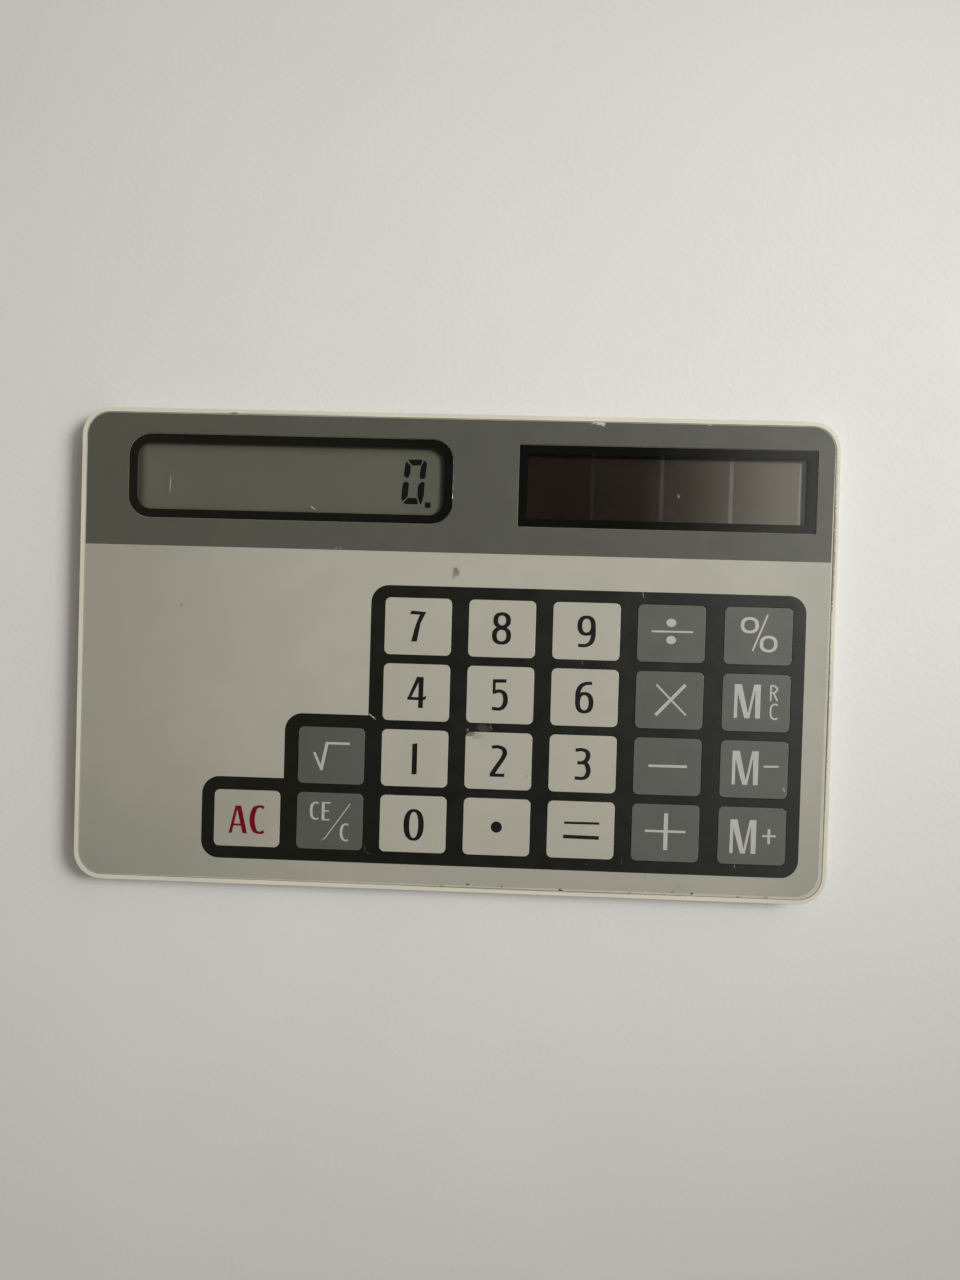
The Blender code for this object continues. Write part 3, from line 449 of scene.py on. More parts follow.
class CalculatorKeys(bpy.types.PropertyGroup):
    """Sizes and colours of the keys and their legends."""

    corner: size_property("Key corner", "Radius of a key's corners", 0.0006)
    edge: size_property("Key edge", "Width of the rounded upper edge", 0.00004)
    # Painted shade on the keys: darker towards the left of the card, from the start over the fade's reach and
    # by the share
    key_shade_start: size_property("Fade start", "Where along the card the keys are at their darkest", -0.034)
    fade: size_property("Fade", "From there to where they are at their palest", 0.030)
    key_shade_share: share_property("Fade share", "How much darker a key is at the start", 0.20)
    contact_border: size_property("Contact border", "From a key's edge to its printed contact", 0.0012)
    contact_corner: size_property("Contact corner", "Radius of the contact's corners", 0.0004)
    numeral: size_property("Numeral height", "Height of a numeral", 0.00355)
    ink: size_property("Ink", "How far a legend stands above its key", 0.000012)
    light_colour: colour_property("Light key", "numeral keys", (0.350, 0.344, 0.288))
    dark_colour: colour_property("Dark key", "function keys", (0.085, 0.088, 0.077))
    black_ink: colour_property("Black ink", "numerals", (0.006, 0.006, 0.006))
    pale_ink: colour_property("Pale ink", "signs on the dark keys", (0.375, 0.375, 0.345))
    red_ink: colour_property("Red ink", "all clear legend", (0.135, 0.0006, 0.006))


class CalculatorWindows(bpy.types.PropertyGroup):
    """Sizes and colours of the display, the solar cell and their panes."""

    display_border: size_property("Display border", "Width of the black border of the display", 0.001)
    display_corner: size_property("Display corner", "Outer radius of the display's pane", 0.0025)
    view_corner: size_property("View corner", "Radius of the display's opening", 0.0016)
    solar_border: size_property("Solar border", "Width of the black border of the solar cell", 0.00095)
    solar_corner: size_property("Solar corner", "Outer radius of the solar cell's pane", 0.00012)
    border_print: size_property("Border print", "Thickness of the black border", 0.00002)
    polarizer_corner: size_property("Polarizer corner", "Radius of the display's own corners", 0.0003)
    pane_edge: size_property("Pane edge", "Width of the rounded edge of a pane", 0.00002)
    digit_x: size_property("Digit X", "Middle of the lit digit along the card", -0.0048)
    digit_y: size_property("Digit Y", "Middle of the lit digit across the card", 0.0194)
    digit_height: size_property("Digit height", "Height of the lit digit", 0.00499)
    segment_corner: size_property("Segment corner", "How far a segment's corners are cut", 0.00006)
    segment_rise: size_property("Segment rise", "How far a segment stands out", 0.000012)
    pane_colour: colour_property("Pane", "clear panes", (0.96, 0.965, 0.955))
    view_colour: colour_property("Display", "display", (0.112, 0.110, 0.086))
    segment_colour: colour_property("Segment", "lit segments", (0.0030, 0.0052, 0.0042))
    border_colour: colour_property("Border", "panes' borders", (0.004, 0.0045, 0.0035))
    cell_glass_colour: colour_property("Solar glass", "cells' glass", (0.93, 0.92, 0.91))
    cell_colour: colour_property("Cell", "solar cells", (0.009, 0.0038, 0.003))
    backing_colour: colour_property("Backing", "metal strip behind the cells", (0.40, 0.38, 0.35))


class CalculatorBody(bpy.types.PropertyGroup):
    """Colours of the frame, the rear cover and the pieces inside."""

    frame_colour: colour_property("Frame", "moulded frame", (0.548, 0.52, 0.438))
    cover_colour: colour_property("Rear cover", "rear cover", (0.58, 0.54, 0.44))
    adhesive_colour: colour_property("Adhesive", "glued sheets", (0.60, 0.55, 0.40))
    spacer_colour: colour_property("Spacer", "spacer sheet", (0.55, 0.57, 0.55))
    board_colour: colour_property("Board", "circuit board", (0.03, 0.14, 0.05))
    resin_colour: colour_property("Resin", "drop over the chip", (0.008, 0.008, 0.008))
    component_colour: colour_property("Component", "small components", (0.09, 0.07, 0.05))
    glass_colour: colour_property("Glass", "display's glasses", (0.30, 0.33, 0.28))
    reflector_colour: colour_property("Reflector", "display's reflector", (0.40, 0.41, 0.35))
    foam_colour: colour_property("Foam", "cushions", (0.03, 0.03, 0.03))
    ribbon_colour: colour_property("Ribbon", "display's ribbon", (0.40, 0.20, 0.05))
    lead_colour: colour_property("Lead", "tinned leads", (0.55, 0.50, 0.42))


class CalculatorStage(bpy.types.PropertyGroup):
    """The camera's place, the floor and the lights."""

    camera_place: place_property("Camera place", "Where the camera stands", (0.00712, 0.00352, 0.1156))
    camera_turn: FloatVectorProperty(
        name="Camera turn",
        description="How the camera is turned from looking straight down",
        default=(radians(-0.8986), radians(2.0070), radians(1.6305)),
        subtype="EULER",
        unit="ROTATION",
        size=3,
    )
    floor_size: size_property("Floor", "Length of the floor's sides", 4.0)
    floor_fade_start: size_property("Fade start", "From the card to where the floor starts to fade", 0.085)
    floor_fade_end: size_property("Fade end", "From the card to where only the backdrop is left", 0.14)
    floor_colour: colour_property("Floor", "floor", (0.595, 0.599, 0.582))
    lamp_size: size_property("Lamp size", "Side of the square key lamp", 0.15)
    lamp_place: place_property("Lamp place", "Where the key lamp stands", (0.29, 0.10, 0.30))
    lamp_aim: place_property("Lamp aim", "The place on the floor that it points at", (0.004, 0.024, 0.0))
    lamp_spread: FloatProperty(
        name="Lamp spread",
        description="Angle that the key lamp's grid lets through",
        default=radians(42),
        subtype="ANGLE",
    )
    lamp_power: FloatProperty(
        name="Lamp power", description="Power of the key lamp in watts", default=0.120
    )
    lamp_colour: colour_property("Lamp colour", "key lamp", (1.0, 1.0, 0.965))
    world_strength: FloatProperty(name="Dome", description="Strength of the pale dome", default=1.0)
    near_side: share_property("Near side", "Share of the dome's light on the near side", 0.5)


def add_node(tree, kind, inputs=None, **settings):
    """A shader node. Its inputs, by name or number, take a value or another node's socket."""
    node = tree.nodes.new(kind)
    for name, value in settings.items():
        setattr(node, name, value)
    for key, value in (inputs or {}).items():
        socket = node.inputs[key]
        if isinstance(value, bpy.types.NodeSocket):
            tree.links.new(value, socket)
        else:
            socket.default_value = value
    return node


def new_material(name):
    """An empty node material, its tree and its object coordinates."""
    material = bpy.data.materials.new(name)
    material.use_nodes = True
    tree = material.node_tree
    tree.nodes.clear()
    return material, tree, add_node(tree, "ShaderNodeTexCoord").outputs["Object"]


def combine(tree, operation, first, second):
    """The result of a Math node on two values."""
    return add_node(tree, "ShaderNodeMath", {0: first, 1: second}, operation=operation).outputs[0]


def length_of(tree, vector):
    """The length of a vector."""
    return add_node(tree, "ShaderNodeVectorMath", {0: vector}, operation="LENGTH").outputs["Value"]


def remap(tree, value, start, end, low=0.0, high=1.0, kind="LINEAR"):
    """Goes from low to high while the value goes from start to end."""
    inputs = {"Value": value, "From Min": start, "From Max": end, "To Min": low, "To Max": high}
    return add_node(tree, "ShaderNodeMapRange", inputs, interpolation_type=kind).outputs["Result"]


def noise(tree, coords, grain, low, high, detail=2.0):
    """A soft random value between low and high, whose patches are about one grain across."""
    texture = add_node(tree, "ShaderNodeTexNoise", {"Vector": coords, "Scale": 1 / grain, "Detail": detail})
    return remap(tree, texture.outputs["Fac"], *NOISE_REACH, low, high)


def seen_rays(tree, mirrored=1.0):
    """Whether a ray comes from the eye, straight or through glass, or to a share by a mirror."""
    rays = add_node(tree, "ShaderNodeLightPath").outputs
    glossy = combine(tree, "MULTIPLY", rays["Is Glossy Ray"], mirrored)
    through = combine(tree, "MAXIMUM", rays["Is Camera Ray"], rays["Is Transmission Ray"])
    return combine(tree, "MAXIMUM", through, glossy)


def mix_colour(tree, factor, first, second):
    """A mix of two colours."""
    return add_node(tree, "ShaderNodeMix", {0: factor, 6: first, 7: second}, data_type="RGBA").outputs[2]


def mix_surface(tree, factor, first, second):
    """A mix of two surfaces."""
    return add_node(tree, "ShaderNodeMixShader", {0: factor, 1: first, 2: second}).outputs["Shader"]


def opaque(colour, scale=1.0):
    """A colour with its alpha, made lighter or darker."""
    return (*(min(channel * scale, 1.0) for channel in colour), 1.0)


def mark_factor(tree, coords, place, size, turn, depth):
    """How strongly a mark shows: a ragged spot or scratch on the surface, or a line of painted shade."""
    local = add_node(
        tree,
        "ShaderNodeMapping",
        {
            "Vector": coords,
            "Location": (place[0] * MM, place[1] * MM, 0),
            "Rotation": (0, 0, radians(turn)),
            "Scale": (size[0] * MM, size[1] * MM, 1),
        },
        vector_type="TEXTURE",
    )
    ragged = noise(tree, coords, MARK_GRAIN, -MARK_STRAY_SHARE, MARK_STRAY_SHARE, detail=3.0)
    edge = combine(tree, "ADD", length_of(tree, local.outputs["Vector"]), ragged)
    return remap(tree, edge, *MARK_FADE_SHARES, depth, 0.0, "SMOOTHSTEP")


def marked(tree, coords, colour, marks):
    """The colour with each mark laid over it, marks of use and lines of painted shade alike."""
    for kind, place, size, turn, depth in marks:
        factor = mark_factor(tree, coords, place, size, turn, depth)
        colour = mix_colour(tree, factor, colour, MARK_COLOURS[kind])
    return colour


def shaded(tree, coords, colour, shades):
    """The colour, darker towards straight edges. Each has an axis, a place, a reach and a share."""
    places = add_node(tree, "ShaderNodeSeparateXYZ", {"Vector": coords})
    for axis, place, reach, share in shades:
        level = remap(tree, places.outputs[axis], place, place + reach, 1 - share, 1.0, "SMOOTHSTEP")
        colour = mix_colour(tree, level, BLACK_SHADE, colour)
    return colour


def finish(name, colour, marks=(), shades=(), speckle=0.0, **sockets):
    """A surface whose colour drifts a little, with a fine grain, an uneven gloss, marks of use and painted
    shade where given.
    """
    roughness, variation, patch, grain, depth = FINISHES[name]
    material, tree, coords = new_material(name)
    drift = noise(tree, coords, patch, 0.0, 1.0)
    base = mix_colour(tree, drift, opaque(colour, 1 - variation), opaque(colour, 1 + variation))
    if speckle:
        dust = add_node(tree, "ShaderNodeTexVoronoi", {"Vector": coords, "Scale": DUST_CELLS})
        dots = remap(tree, dust.outputs["Distance"], *DUST_REACH, speckle, 0.0)
        base = mix_colour(tree, dots, base, opaque(colour, DUST_LIGHTNESS))
    base = shaded(tree, coords, marked(tree, coords, base, marks), shades)
    least, most = GLOSS_SHARES
    gloss = noise(tree, coords, patch / 2, roughness * least, roughness * most, detail=4.0)
    height = noise(tree, coords, grain, 0.0, 1.0, detail=3.0)
    bump = add_node(tree, "ShaderNodeBump", {"Height": height, "Distance": depth, "Strength": 1.0})
    shader = add_node(
        tree,
        "ShaderNodeBsdfPrincipled",
        {"Base Color": base, "Roughness": gloss, "Normal": bump.outputs["Normal"]},
    )
    for socket, value in sockets.items():
        shader.inputs[socket.replace("_", " ")].default_value = value
    add_node(tree, "ShaderNodeOutputMaterial", {"Surface": shader.outputs["BSDF"]})
    material.diffuse_color = opaque(colour)
    return material


def clear_finish(name, colour, roughness, marks=()):
    """A clear pane: it lets light straight through, and its outer side mirrors by Fresnel."""
    material, tree, coords = new_material(name)
    through = add_node(tree, "ShaderNodeBsdfTransparent", {"Color": opaque(colour)})
    least, most = SMEAR_SHARES
    smear = noise(tree, coords, SMEAR_PATCH, roughness * least, roughness * most, detail=4.0)
    mirror = add_node(tree, "ShaderNodeBsdfGlossy", {"Color": (1, 1, 1, 1), "Roughness": smear})
    fresnel = add_node(tree, "ShaderNodeFresnel", {"IOR": ACRYLIC_IOR})
    inner_side = add_node(tree, "ShaderNodeNewGeometry").outputs["Backfacing"]
    share = remap(tree, inner_side, 0.0, 1.0, fresnel.outputs["Fac"], 0.0)
    surface = mix_surface(tree, share, through.outputs["BSDF"], mirror.outputs["BSDF"])
    scratch = add_node(tree, "ShaderNodeBsdfDiffuse", {"Color": SCRATCH_COLOUR})
    for _, place, size, turn, depth in marks:
        factor = mark_factor(tree, coords, place, size, turn, depth)
        surface = mix_surface(tree, factor, surface, scratch.outputs["BSDF"])
    add_node(tree, "ShaderNodeOutputMaterial", {"Surface": surface})
    material.diffuse_color = SOLID_VIEW_PANE
    return material


def box_corners(low, high, margin=0.0):
    """The corners of a box seen from above, anticlockwise from the top right, drawn out by a margin."""
    left, right = low.x - margin, high.x + margin
    foot, head = low.y - margin, high.y + margin
    return [(right, head), (left, head), (left, foot), (right, foot)]


def round_off(shape, geom, width, steps, affect="VERTICES"):
    """Rounds corners or edges."""
    bmesh.ops.bevel(
        shape,
        geom=geom,
        offset=width,
        offset_type="OFFSET",
        affect=affect,
        segments=steps,
        profile=0.5,
        material=-1,
        loop_slide=affect == "EDGES",
    )


def outline(shape, corners, radius, steps, sharp=()):
    """A closed wire with rounded corners, apart from those listed as sharp."""
    verts = [shape.verts.new((x, y, FLAT)) for x, y in corners]
    patch = shape.faces.new(verts)
    known = set(shape.faces)
    rounded = [vert for number, vert in enumerate(verts) if number not in sharp]
    round_off(shape, rounded, radius, steps)
    patch = next(face for face in shape.faces if face not in known or face == patch)
    edges = list(patch.edges)
    bmesh.ops.delete(shape, geom=[patch], context="FACES_ONLY")
    return edges


def oval(shape, centre, radii, steps=36, squareness=0.86):
    """A closed wire in the shape of an oval, a little squarer than an ellipse."""
    verts = bmesh.ops.create_circle(shape, cap_ends=False, segments=steps, radius=1)["verts"]
    for vert in verts:
        x = copysign(abs(vert.co.x) ** squareness, vert.co.x)
        y = copysign(abs(vert.co.y) ** squareness, vert.co.y)
        vert.co = (centre[0] + radii[0] * x, centre[1] + radii[1] * y, FLAT)
    # A set would list the edges in another order in each run
    return list(dict.fromkeys(edge for vert in verts for edge in vert.link_edges))


def fill(shape, edges, material=GROUND):
    """Fills the area between closed wires, the first its edge and the others its openings."""
    made = bmesh.ops.triangle_fill(shape, use_beauty=True, edges=edges, normal=UP)["geom"]
    faces = [item for item in made if isinstance(item, bmesh.types.BMFace)]
    for face in faces:
        face.material_index = material
    return faces


def sheet(shape, low, high, radius, steps):
    """A flat rounded sheet, seen from above as large as the box between two corners."""
    edges = outline(shape, box_corners(low, high), radius, steps)
    return bmesh.ops.edgeloop_fill(shape, edges=edges)["faces"]


def thicken(shape, faces, low, high):
    """Gives a flat patch its thickness, between two levels."""
    bmesh.ops.translate(shape, verts=list({v for f in faces for v in f.verts}), vec=(0, 0, high))
    grown = bmesh.ops.extrude_face_region(shape, geom=faces, use_keep_orig=True)["geom"]
    below = [item for item in grown if isinstance(item, bmesh.types.BMVert)]
    bmesh.ops.translate(shape, verts=below, vec=(0, 0, low - high))


def soften_top(shape, level, width, steps):
    """Rounds the upper outer edges of a plate."""
    edges = [
        edge
        for edge in shape.edges
        if all(abs(vert.co.z - level) < WELD for vert in edge.verts)
        and any(abs(face.normal.z) < UPRIGHT for face in edge.link_faces)
    ]
    round_off(shape, edges, width, steps, "EDGES")


def make_piece(name, shape, materials, body, slot, *nodes):
    """Turns a finished shape into a piece that rides on a body in place of CAD nodes."""
    bmesh.ops.remove_doubles(shape, verts=shape.verts, dist=WELD)
    bmesh.ops.recalc_face_normals(shape, faces=shape.faces)
    mesh = bpy.data.meshes.new(name)
    shape.to_mesh(mesh)
    shape.free()
    for material in materials:
        mesh.materials.append(material)
    piece = bpy.data.objects.new(name, mesh)
    bpy.context.scene.collection.objects.link(piece)
    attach(piece, body)
    if nodes:
        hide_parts(*nodes)
    return piece


def united(name, first, second):
    """Joins two overlapping solids into one clean shape. Both bmeshes are used up."""
    parts = []
    for number, shape in enumerate((first, second)):
        bmesh.ops.recalc_face_normals(shape, faces=shape.faces)
        mesh = bpy.data.meshes.new(f"{name}_{number}")
        shape.to_mesh(mesh)
        shape.free()
        part = bpy.data.objects.new(mesh.name, mesh)
        bpy.context.scene.collection.objects.link(part)
        parts.append(part)
    join = parts[0].modifiers.new("join", "BOOLEAN")
    join.operation = "UNION"
    join.solver = "EXACT"
    join.use_self = True
    join.object = parts[1]
    bpy.context.view_layer.update()
    joined = bmesh.new()
    joined.from_object(parts[0], bpy.context.evaluated_depsgraph_get())
    for part in parts:
        bpy.data.meshes.remove(part.data)
    return joined


def dress(material, *nodes):
    """Gives carried-over CAD nodes their material."""
    for name in nodes:
        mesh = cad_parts[name].data
        mesh.materials.clear()
        mesh.materials.append(material)


def smooth_path(points, steps=6):
    """The points of a smooth line through the given ones."""
    knots = [Vector(point) for point in points]
    guides = [2 * knots[0] - knots[1], *knots, 2 * knots[-1] - knots[-2]]
    path = [knots[0]]
    for before, start, end, after in zip(guides, guides[1:], guides[2:], guides[3:]):
        leave = start + (end - before) / HANDLE_PARTS
        arrive = end - (after - start) / HANDLE_PARTS
        curve = interpolate_bezier(start, leave, arrive, end, steps + 1)
        path.extend(Vector(point[:2]) for point in curve[1:])
    return path


def stroke(shape, path, pen):
    """The flat mark of a pen drawn along a path. The pen is given by its half widths along X and Y."""
    left, right = [], []
    for number, place in enumerate(path):
        onward = path[min(number + 1, len(path) - 1)] - path[max(number - 1, 0)]
        side = Vector((-onward.y, onward.x)).normalized()
        reach = side * hypot(pen[0] * side.x, pen[1] * side.y)
        left.append(place + reach)
        right.append(place - reach)
    return [shape.faces.new([shape.verts.new((*place, FLAT)) for place in left + right[::-1]])]


def draw_sign(shape, sign):
    """One part of a legend, as a flat patch."""
    kind, *details = sign
    if kind == "ring":
        centre, radii, pen = details
        outer = oval(shape, centre, (radii[0] + pen[0], radii[1] + pen[1]))
        inner = oval(shape, centre, (radii[0] - pen[0], radii[1] - pen[1]))
        return fill(shape, outer + inner)
    if kind == "dot":
        return fill(shape, oval(shape, *details, squareness=1.0))
    if kind == "curve":
        points, pen = details
        return stroke(shape, smooth_path(points), pen)
    if kind == "bar":
        start, end, width = details
        return stroke(shape, [Vector(start), Vector(end)], (width / 2, width / 2))
    return [shape.faces.new([shape.verts.new((x, y, FLAT)) for x, y in details[0]])]


def signs_of(name):
    """The legend of a key."""
    if name in LEGEND_SHARES:
        return LEGEND_SHARES[name]
    drop = MEMORY_DROP_SHARES[name]
    letter = [(kind, [(x, y - drop) for x, y in corners]) for kind, corners in MEMORY_SHARES]
    return letter + MEMORY_SIGN_SHARES[name]


def draw_signs(shape, signs, centre, height):
    """Signs at their real size round a centre, as flat patches."""
    patches = [patch for sign in signs for patch in draw_sign(shape, sign)]
    scale = height * SHARE
    size = Matrix.Diagonal((scale, scale, 1, 1))
    bmesh.ops.transform(shape, matrix=Matrix.Translation(centre) @ size, verts=shape.verts)
    return patches


def legend(signs, centre, height, low, high):
    """A key's legend as a thin solid between two levels."""
    shape = bmesh.new()
    patches = draw_signs(shape, signs, centre, height)
    for patch in patches:
        patch.material_index = PRINTED
    thicken(shape, patches, low, high)
    return shape


class CALCULATOR_OT_case(bpy.types.Operator):
    """Finishes the moulded frame and the rear cover"""

    bl_idname = "calculator.case"
    bl_label = "Frame and rear cover"

    def execute(self, context):
        body = context.scene.calculator_body
        # The frame's marks include painted shade in the seam along the film's edges
        dress(finish("cream_plastic", body.frame_colour, FRAME_MARKS), "case_frame")
        dress(finish("cover_plastic", body.cover_colour), "rear_cover")
        return {"FINISHED"}


class CALCULATOR_OT_film(bpy.types.Operator):
    """Makes the printed face film with its header, its grey field and its black key field"""

    bl_idname = "calculator.film"
    bl_label = "Printed film"

    def execute(self, context):
        film = context.scene.calculator_film
        keys = context.scene.calculator_keys
        windows = context.scene.calculator_windows
        low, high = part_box("face_film")
        shape = bmesh.new()
        edge = outline(shape, box_corners(low, high), film.corner, FILM_STEPS)
        left, head = low.x + film.edge_margin, high.y - film.edge_margin
        divide = high.y - film.header
        top_right = Vector((high.x - film.edge_margin, head))
        foot_right = Vector((high.x - film.right_margin, low.y + film.foot_margin))
        foot_left = (left, low.y + film.edge_margin)
        divide_share = (head - divide) / (head - foot_right.y)
        divide_right = top_right.lerp(foot_right, divide_share)
        divide_left = (left, divide_right.y)
        # The two corners where the header meets the field stay sharp
        ends = [top_right, (left, head), divide_left, foot_left, foot_right, divide_right]
        fill(shape, edge + outline(shape, ends, film.corner, FILM_STEPS, sharp=(2, 5)), BARE)
        header = outline(shape, [*ends[:3], divide_right], film.corner, FILM_STEPS, sharp=(2, 3))
        for node, radius in (
            ("display_pane", windows.display_corner),
            ("solar_pane", windows.solar_corner),
        ):
            pane_corners = box_corners(*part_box(node), film.seam)
            header += outline(shape, pane_corners, radius + film.seam, OPENING_STEPS)
        fill(shape, header, HEADER)
        field = outline(shape, [divide_right, *ends[2:5]], film.corner, FILM_STEPS, sharp=(0, 1))
        steps = self.stepped_corners(film)
        # The two inner corners of the steps stay sharp too
        border = outline(shape, steps, film.field_corner, OPENING_STEPS, sharp=(2, 4))
        fill(shape, field + border, FIELD)
        key_field = outline(shape, steps, film.field_corner, OPENING_STEPS, sharp=(2, 4))
        for name in KEY_NAMES:
            opening = box_corners(*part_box(name), film.seam)
            key_field += outline(shape, opening, keys.corner + film.seam, KEY_STEPS)
        fill(shape, key_field, BLACK)
        bmesh.ops.remove_doubles(shape, verts=shape.verts, dist=WELD)
        thicken(shape, list(shape.faces), low.z, high.z)
        prints = self.prints(film, low, high)
        make_piece("printed_film", shape, prints, "housing", "printed_film", "face_film")
        return {"FINISHED"}

    def prints(self, film, low, high):
        """The film's materials. The field print has painted shade: darker towards its left, its right and its
        foot.
        """
        # Painted shade: the field print is darker towards the left edge, the right edge and the foot
        painted_shade = (
            ("X", low.x, film.field_shade, film.field_shade_share),
            ("X", high.x, -film.edge_shade, film.edge_shade_share),
            ("Y", low.y, film.foot_shade, film.edge_shade_share),
        )
        return (
            finish("header_print", film.header_colour, HEADER_MARKS, Specular_IOR_Level=0.38),
            finish("field_print", film.field_colour, FIELD_MARKS, painted_shade),
            finish("black_print", film.black_colour, BLACK_MARKS, speckle=0.02),
            finish("bare_film_edge", film.margin_colour, FIELD_MARKS),
        )

    def stepped_corners(self, film):
        """The corners of the black field, which steps down to the left with the rows of keys."""
        first, first_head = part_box("key_7")
        root, root_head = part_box("key_square_root")
        clear, clear_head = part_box("key_all_clear")
        last_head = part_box("key_percent")[1]
        head = first_head.y + film.field_top
        right = last_head.x + film.field_right
        foot = clear.y - film.field_foot
        upper_step = root_head.y + film.field_step
        lower_step = clear_head.y + film.field_step
        return [
            (right, head),
            (first.x - film.field_left, head),
            (first.x - film.field_left, upper_step),
            (root.x - film.field_left, upper_step),
            (root.x - film.field_left, lower_step),
            (clear.x - film.field_end, lower_step),
            (clear.x - film.field_end, foot),
            (right, foot),
        ]


class CALCULATOR_OT_keys(bpy.types.Operator):
    """Makes the keys, each with its legend and the contact printed under it"""

    bl_idname = "calculator.keys"
    bl_label = "Keys"

    def execute(self, context):
        keys = context.scene.calculator_keys
        # Painted shade: the keys' print is darker towards the left of the card
        painted_shade = (("X", keys.key_shade_start, keys.fade, keys.key_shade_share),)
        light = finish("light_key_print", keys.light_colour, LIGHT_KEY_MARKS, painted_shade)
        dark = finish("dark_key_print", keys.dark_colour, DARK_KEY_MARKS, painted_shade)
        black = finish("black_ink", keys.black_ink, Specular_IOR_Level=0.35)
        pale = finish("pale_ink", keys.pale_ink)
        red = finish("red_ink", keys.red_ink, Specular_IOR_Level=0.3)
        carbon = finish("contact_carbon", keys.black_ink)
        for name in KEY_NAMES:
            is_dark = name in DARK_KEYS
            ink = pale if is_dark else red if name == "key_all_clear" else black
            slot = "dark_key_film" if is_dark else "light_key_film"
            shape = self.key_shape(name, keys)
            make_piece(f"{name}_pad", shape, (dark if is_dark else light, ink, carbon), name, slot, name)
        return {"FINISHED"}

    def key_shape(self, name, keys):
        """The key's pad with its rounded edge, joined to its legend and its contact."""
        low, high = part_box(name)
        pad_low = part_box("face_film")[0].z
        pad = bmesh.new()
        thicken(pad, sheet(pad, low, high, keys.corner, KEY_STEPS), pad_low, high.z)
        bmesh.ops.recalc_face_normals(pad, faces=pad.faces)
        soften_top(pad, high.z, keys.edge, KEY_EDGE_STEPS)
        centre = Vector(((low.x + high.x) / 2, (low.y + high.y) / 2, 0))
        sunk = keys.ink * INK_DEPTH
        printed = legend(signs_of(name), centre, keys.numeral, high.z - sunk, high.z + keys.ink)
        corners = box_corners(low, high, -keys.contact_border)
        contact = fill(printed, outline(printed, corners, keys.contact_corner, SMALL_STEPS), CONTACT)
        thicken(printed, contact, low.z, pad_low + sunk)
        return united(name, pad, printed)


class CALCULATOR_OT_panes(bpy.types.Operator):
    """Makes the two clear panes and their printed black borders"""

    bl_idname = "calculator.panes"
    bl_label = "Panes"

    def execute(self, context):
        windows = context.scene.calculator_windows
        clear = clear_finish("clear_pane", windows.pane_colour, roughness=0.05, marks=PANE_MARKS)
        black = finish("border_print", windows.border_colour, Specular_IOR_Level=0.05)
        display = (windows.display_border, windows.display_corner, windows.view_corner)
        solar = (windows.solar_border, windows.solar_corner, windows.solar_corner)
        for node, (border, corner, inner) in (("display_pane", display), ("solar_pane", solar)):
            low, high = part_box(node)
            shape = bmesh.new()
            ring = outline(shape, box_corners(low, high), corner, PANE_STEPS)
            ring += outline(shape, box_corners(low, high, -border), inner, PANE_STEPS)
            thicken(shape, fill(shape, ring), low.z, low.z + windows.border_print)
            make_piece(f"{node}_border", shape, (black,), "housing", "clear_pane", node)
            plate = bmesh.new()
            patch = sheet(plate, low, high, corner, PANE_STEPS)
            thicken(plate, patch, low.z + windows.border_print * (1 + PRINT_GAP_SHARE), high.z)
            bmesh.ops.recalc_face_normals(plate, faces=plate.faces)
            soften_top(plate, high.z, windows.pane_edge, PANE_EDGE_STEPS)
            make_piece(f"{node}_clear", plate, (clear,), "housing", "clear_pane", node)
        return {"FINISHED"}


class CALCULATOR_OT_display(bpy.types.Operator):
    """Makes the face of the display with its lit digit, and finishes the layers behind it"""

    bl_idname = "calculator.display"
    bl_label = "Display"

    def execute(self, context):
        windows = context.scene.calculator_windows
        body = context.scene.calculator_body
        low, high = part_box("display_front_polarizer")
        face = high.z - windows.segment_rise
        plate = bmesh.new()
        thicken(plate, sheet(plate, low, high, windows.polarizer_corner, SMALL_STEPS), low.z, face)
        lit = bmesh.new()
        patches = self.digit(lit, windows)
        for patch in patches:
            patch.material_index = PRINTED
        thicken(lit, patches, face - windows.segment_rise, high.z)
        view = finish("polarizer", windows.view_colour, shades=self.border_shades(windows))
        black = finish("lit_segment", windows.segment_colour, Specular_IOR_Level=0.2)
        shape = united("display_face", plate, lit)
        make_piece(
            "display_face", shape, (view, black), "housing", "polarizer", "display_front_polarizer"
        )
        dress(finish("display_glass", body.glass_colour), "display_front_glass", "display_rear_glass")
        dress(finish("reflector", body.reflector_colour, Metallic=0.5), "display_rear_polarizer")
        dress(finish("ribbon_film", body.ribbon_colour), "display_ribbon")
        return {"FINISHED"}

    def border_shades(self, windows):
        """How the pane's border shades the display: at its left, its right, its head and its foot."""
        low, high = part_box("display_pane")
        border = windows.display_border
        return (
            ("X", low.x + border, 0.0010, 0.6),
            ("X", high.x - border, -0.0008, 0.25),
            ("Y", high.y - border, -0.0011, 0.3),
            ("Y", low.y + border, 0.0003, 0.15),
        )

    def digit(self, shape, windows):
        """The six lit segments of a nought and its point, leaning a little to the right."""
        draw_signs(shape, DIGIT_SHARES, (windows.digit_x, windows.digit_y, 0), windows.digit_height)
        round_off(shape, list(shape.verts), windows.segment_corner, SEGMENT_STEPS)
        return list(shape.faces)


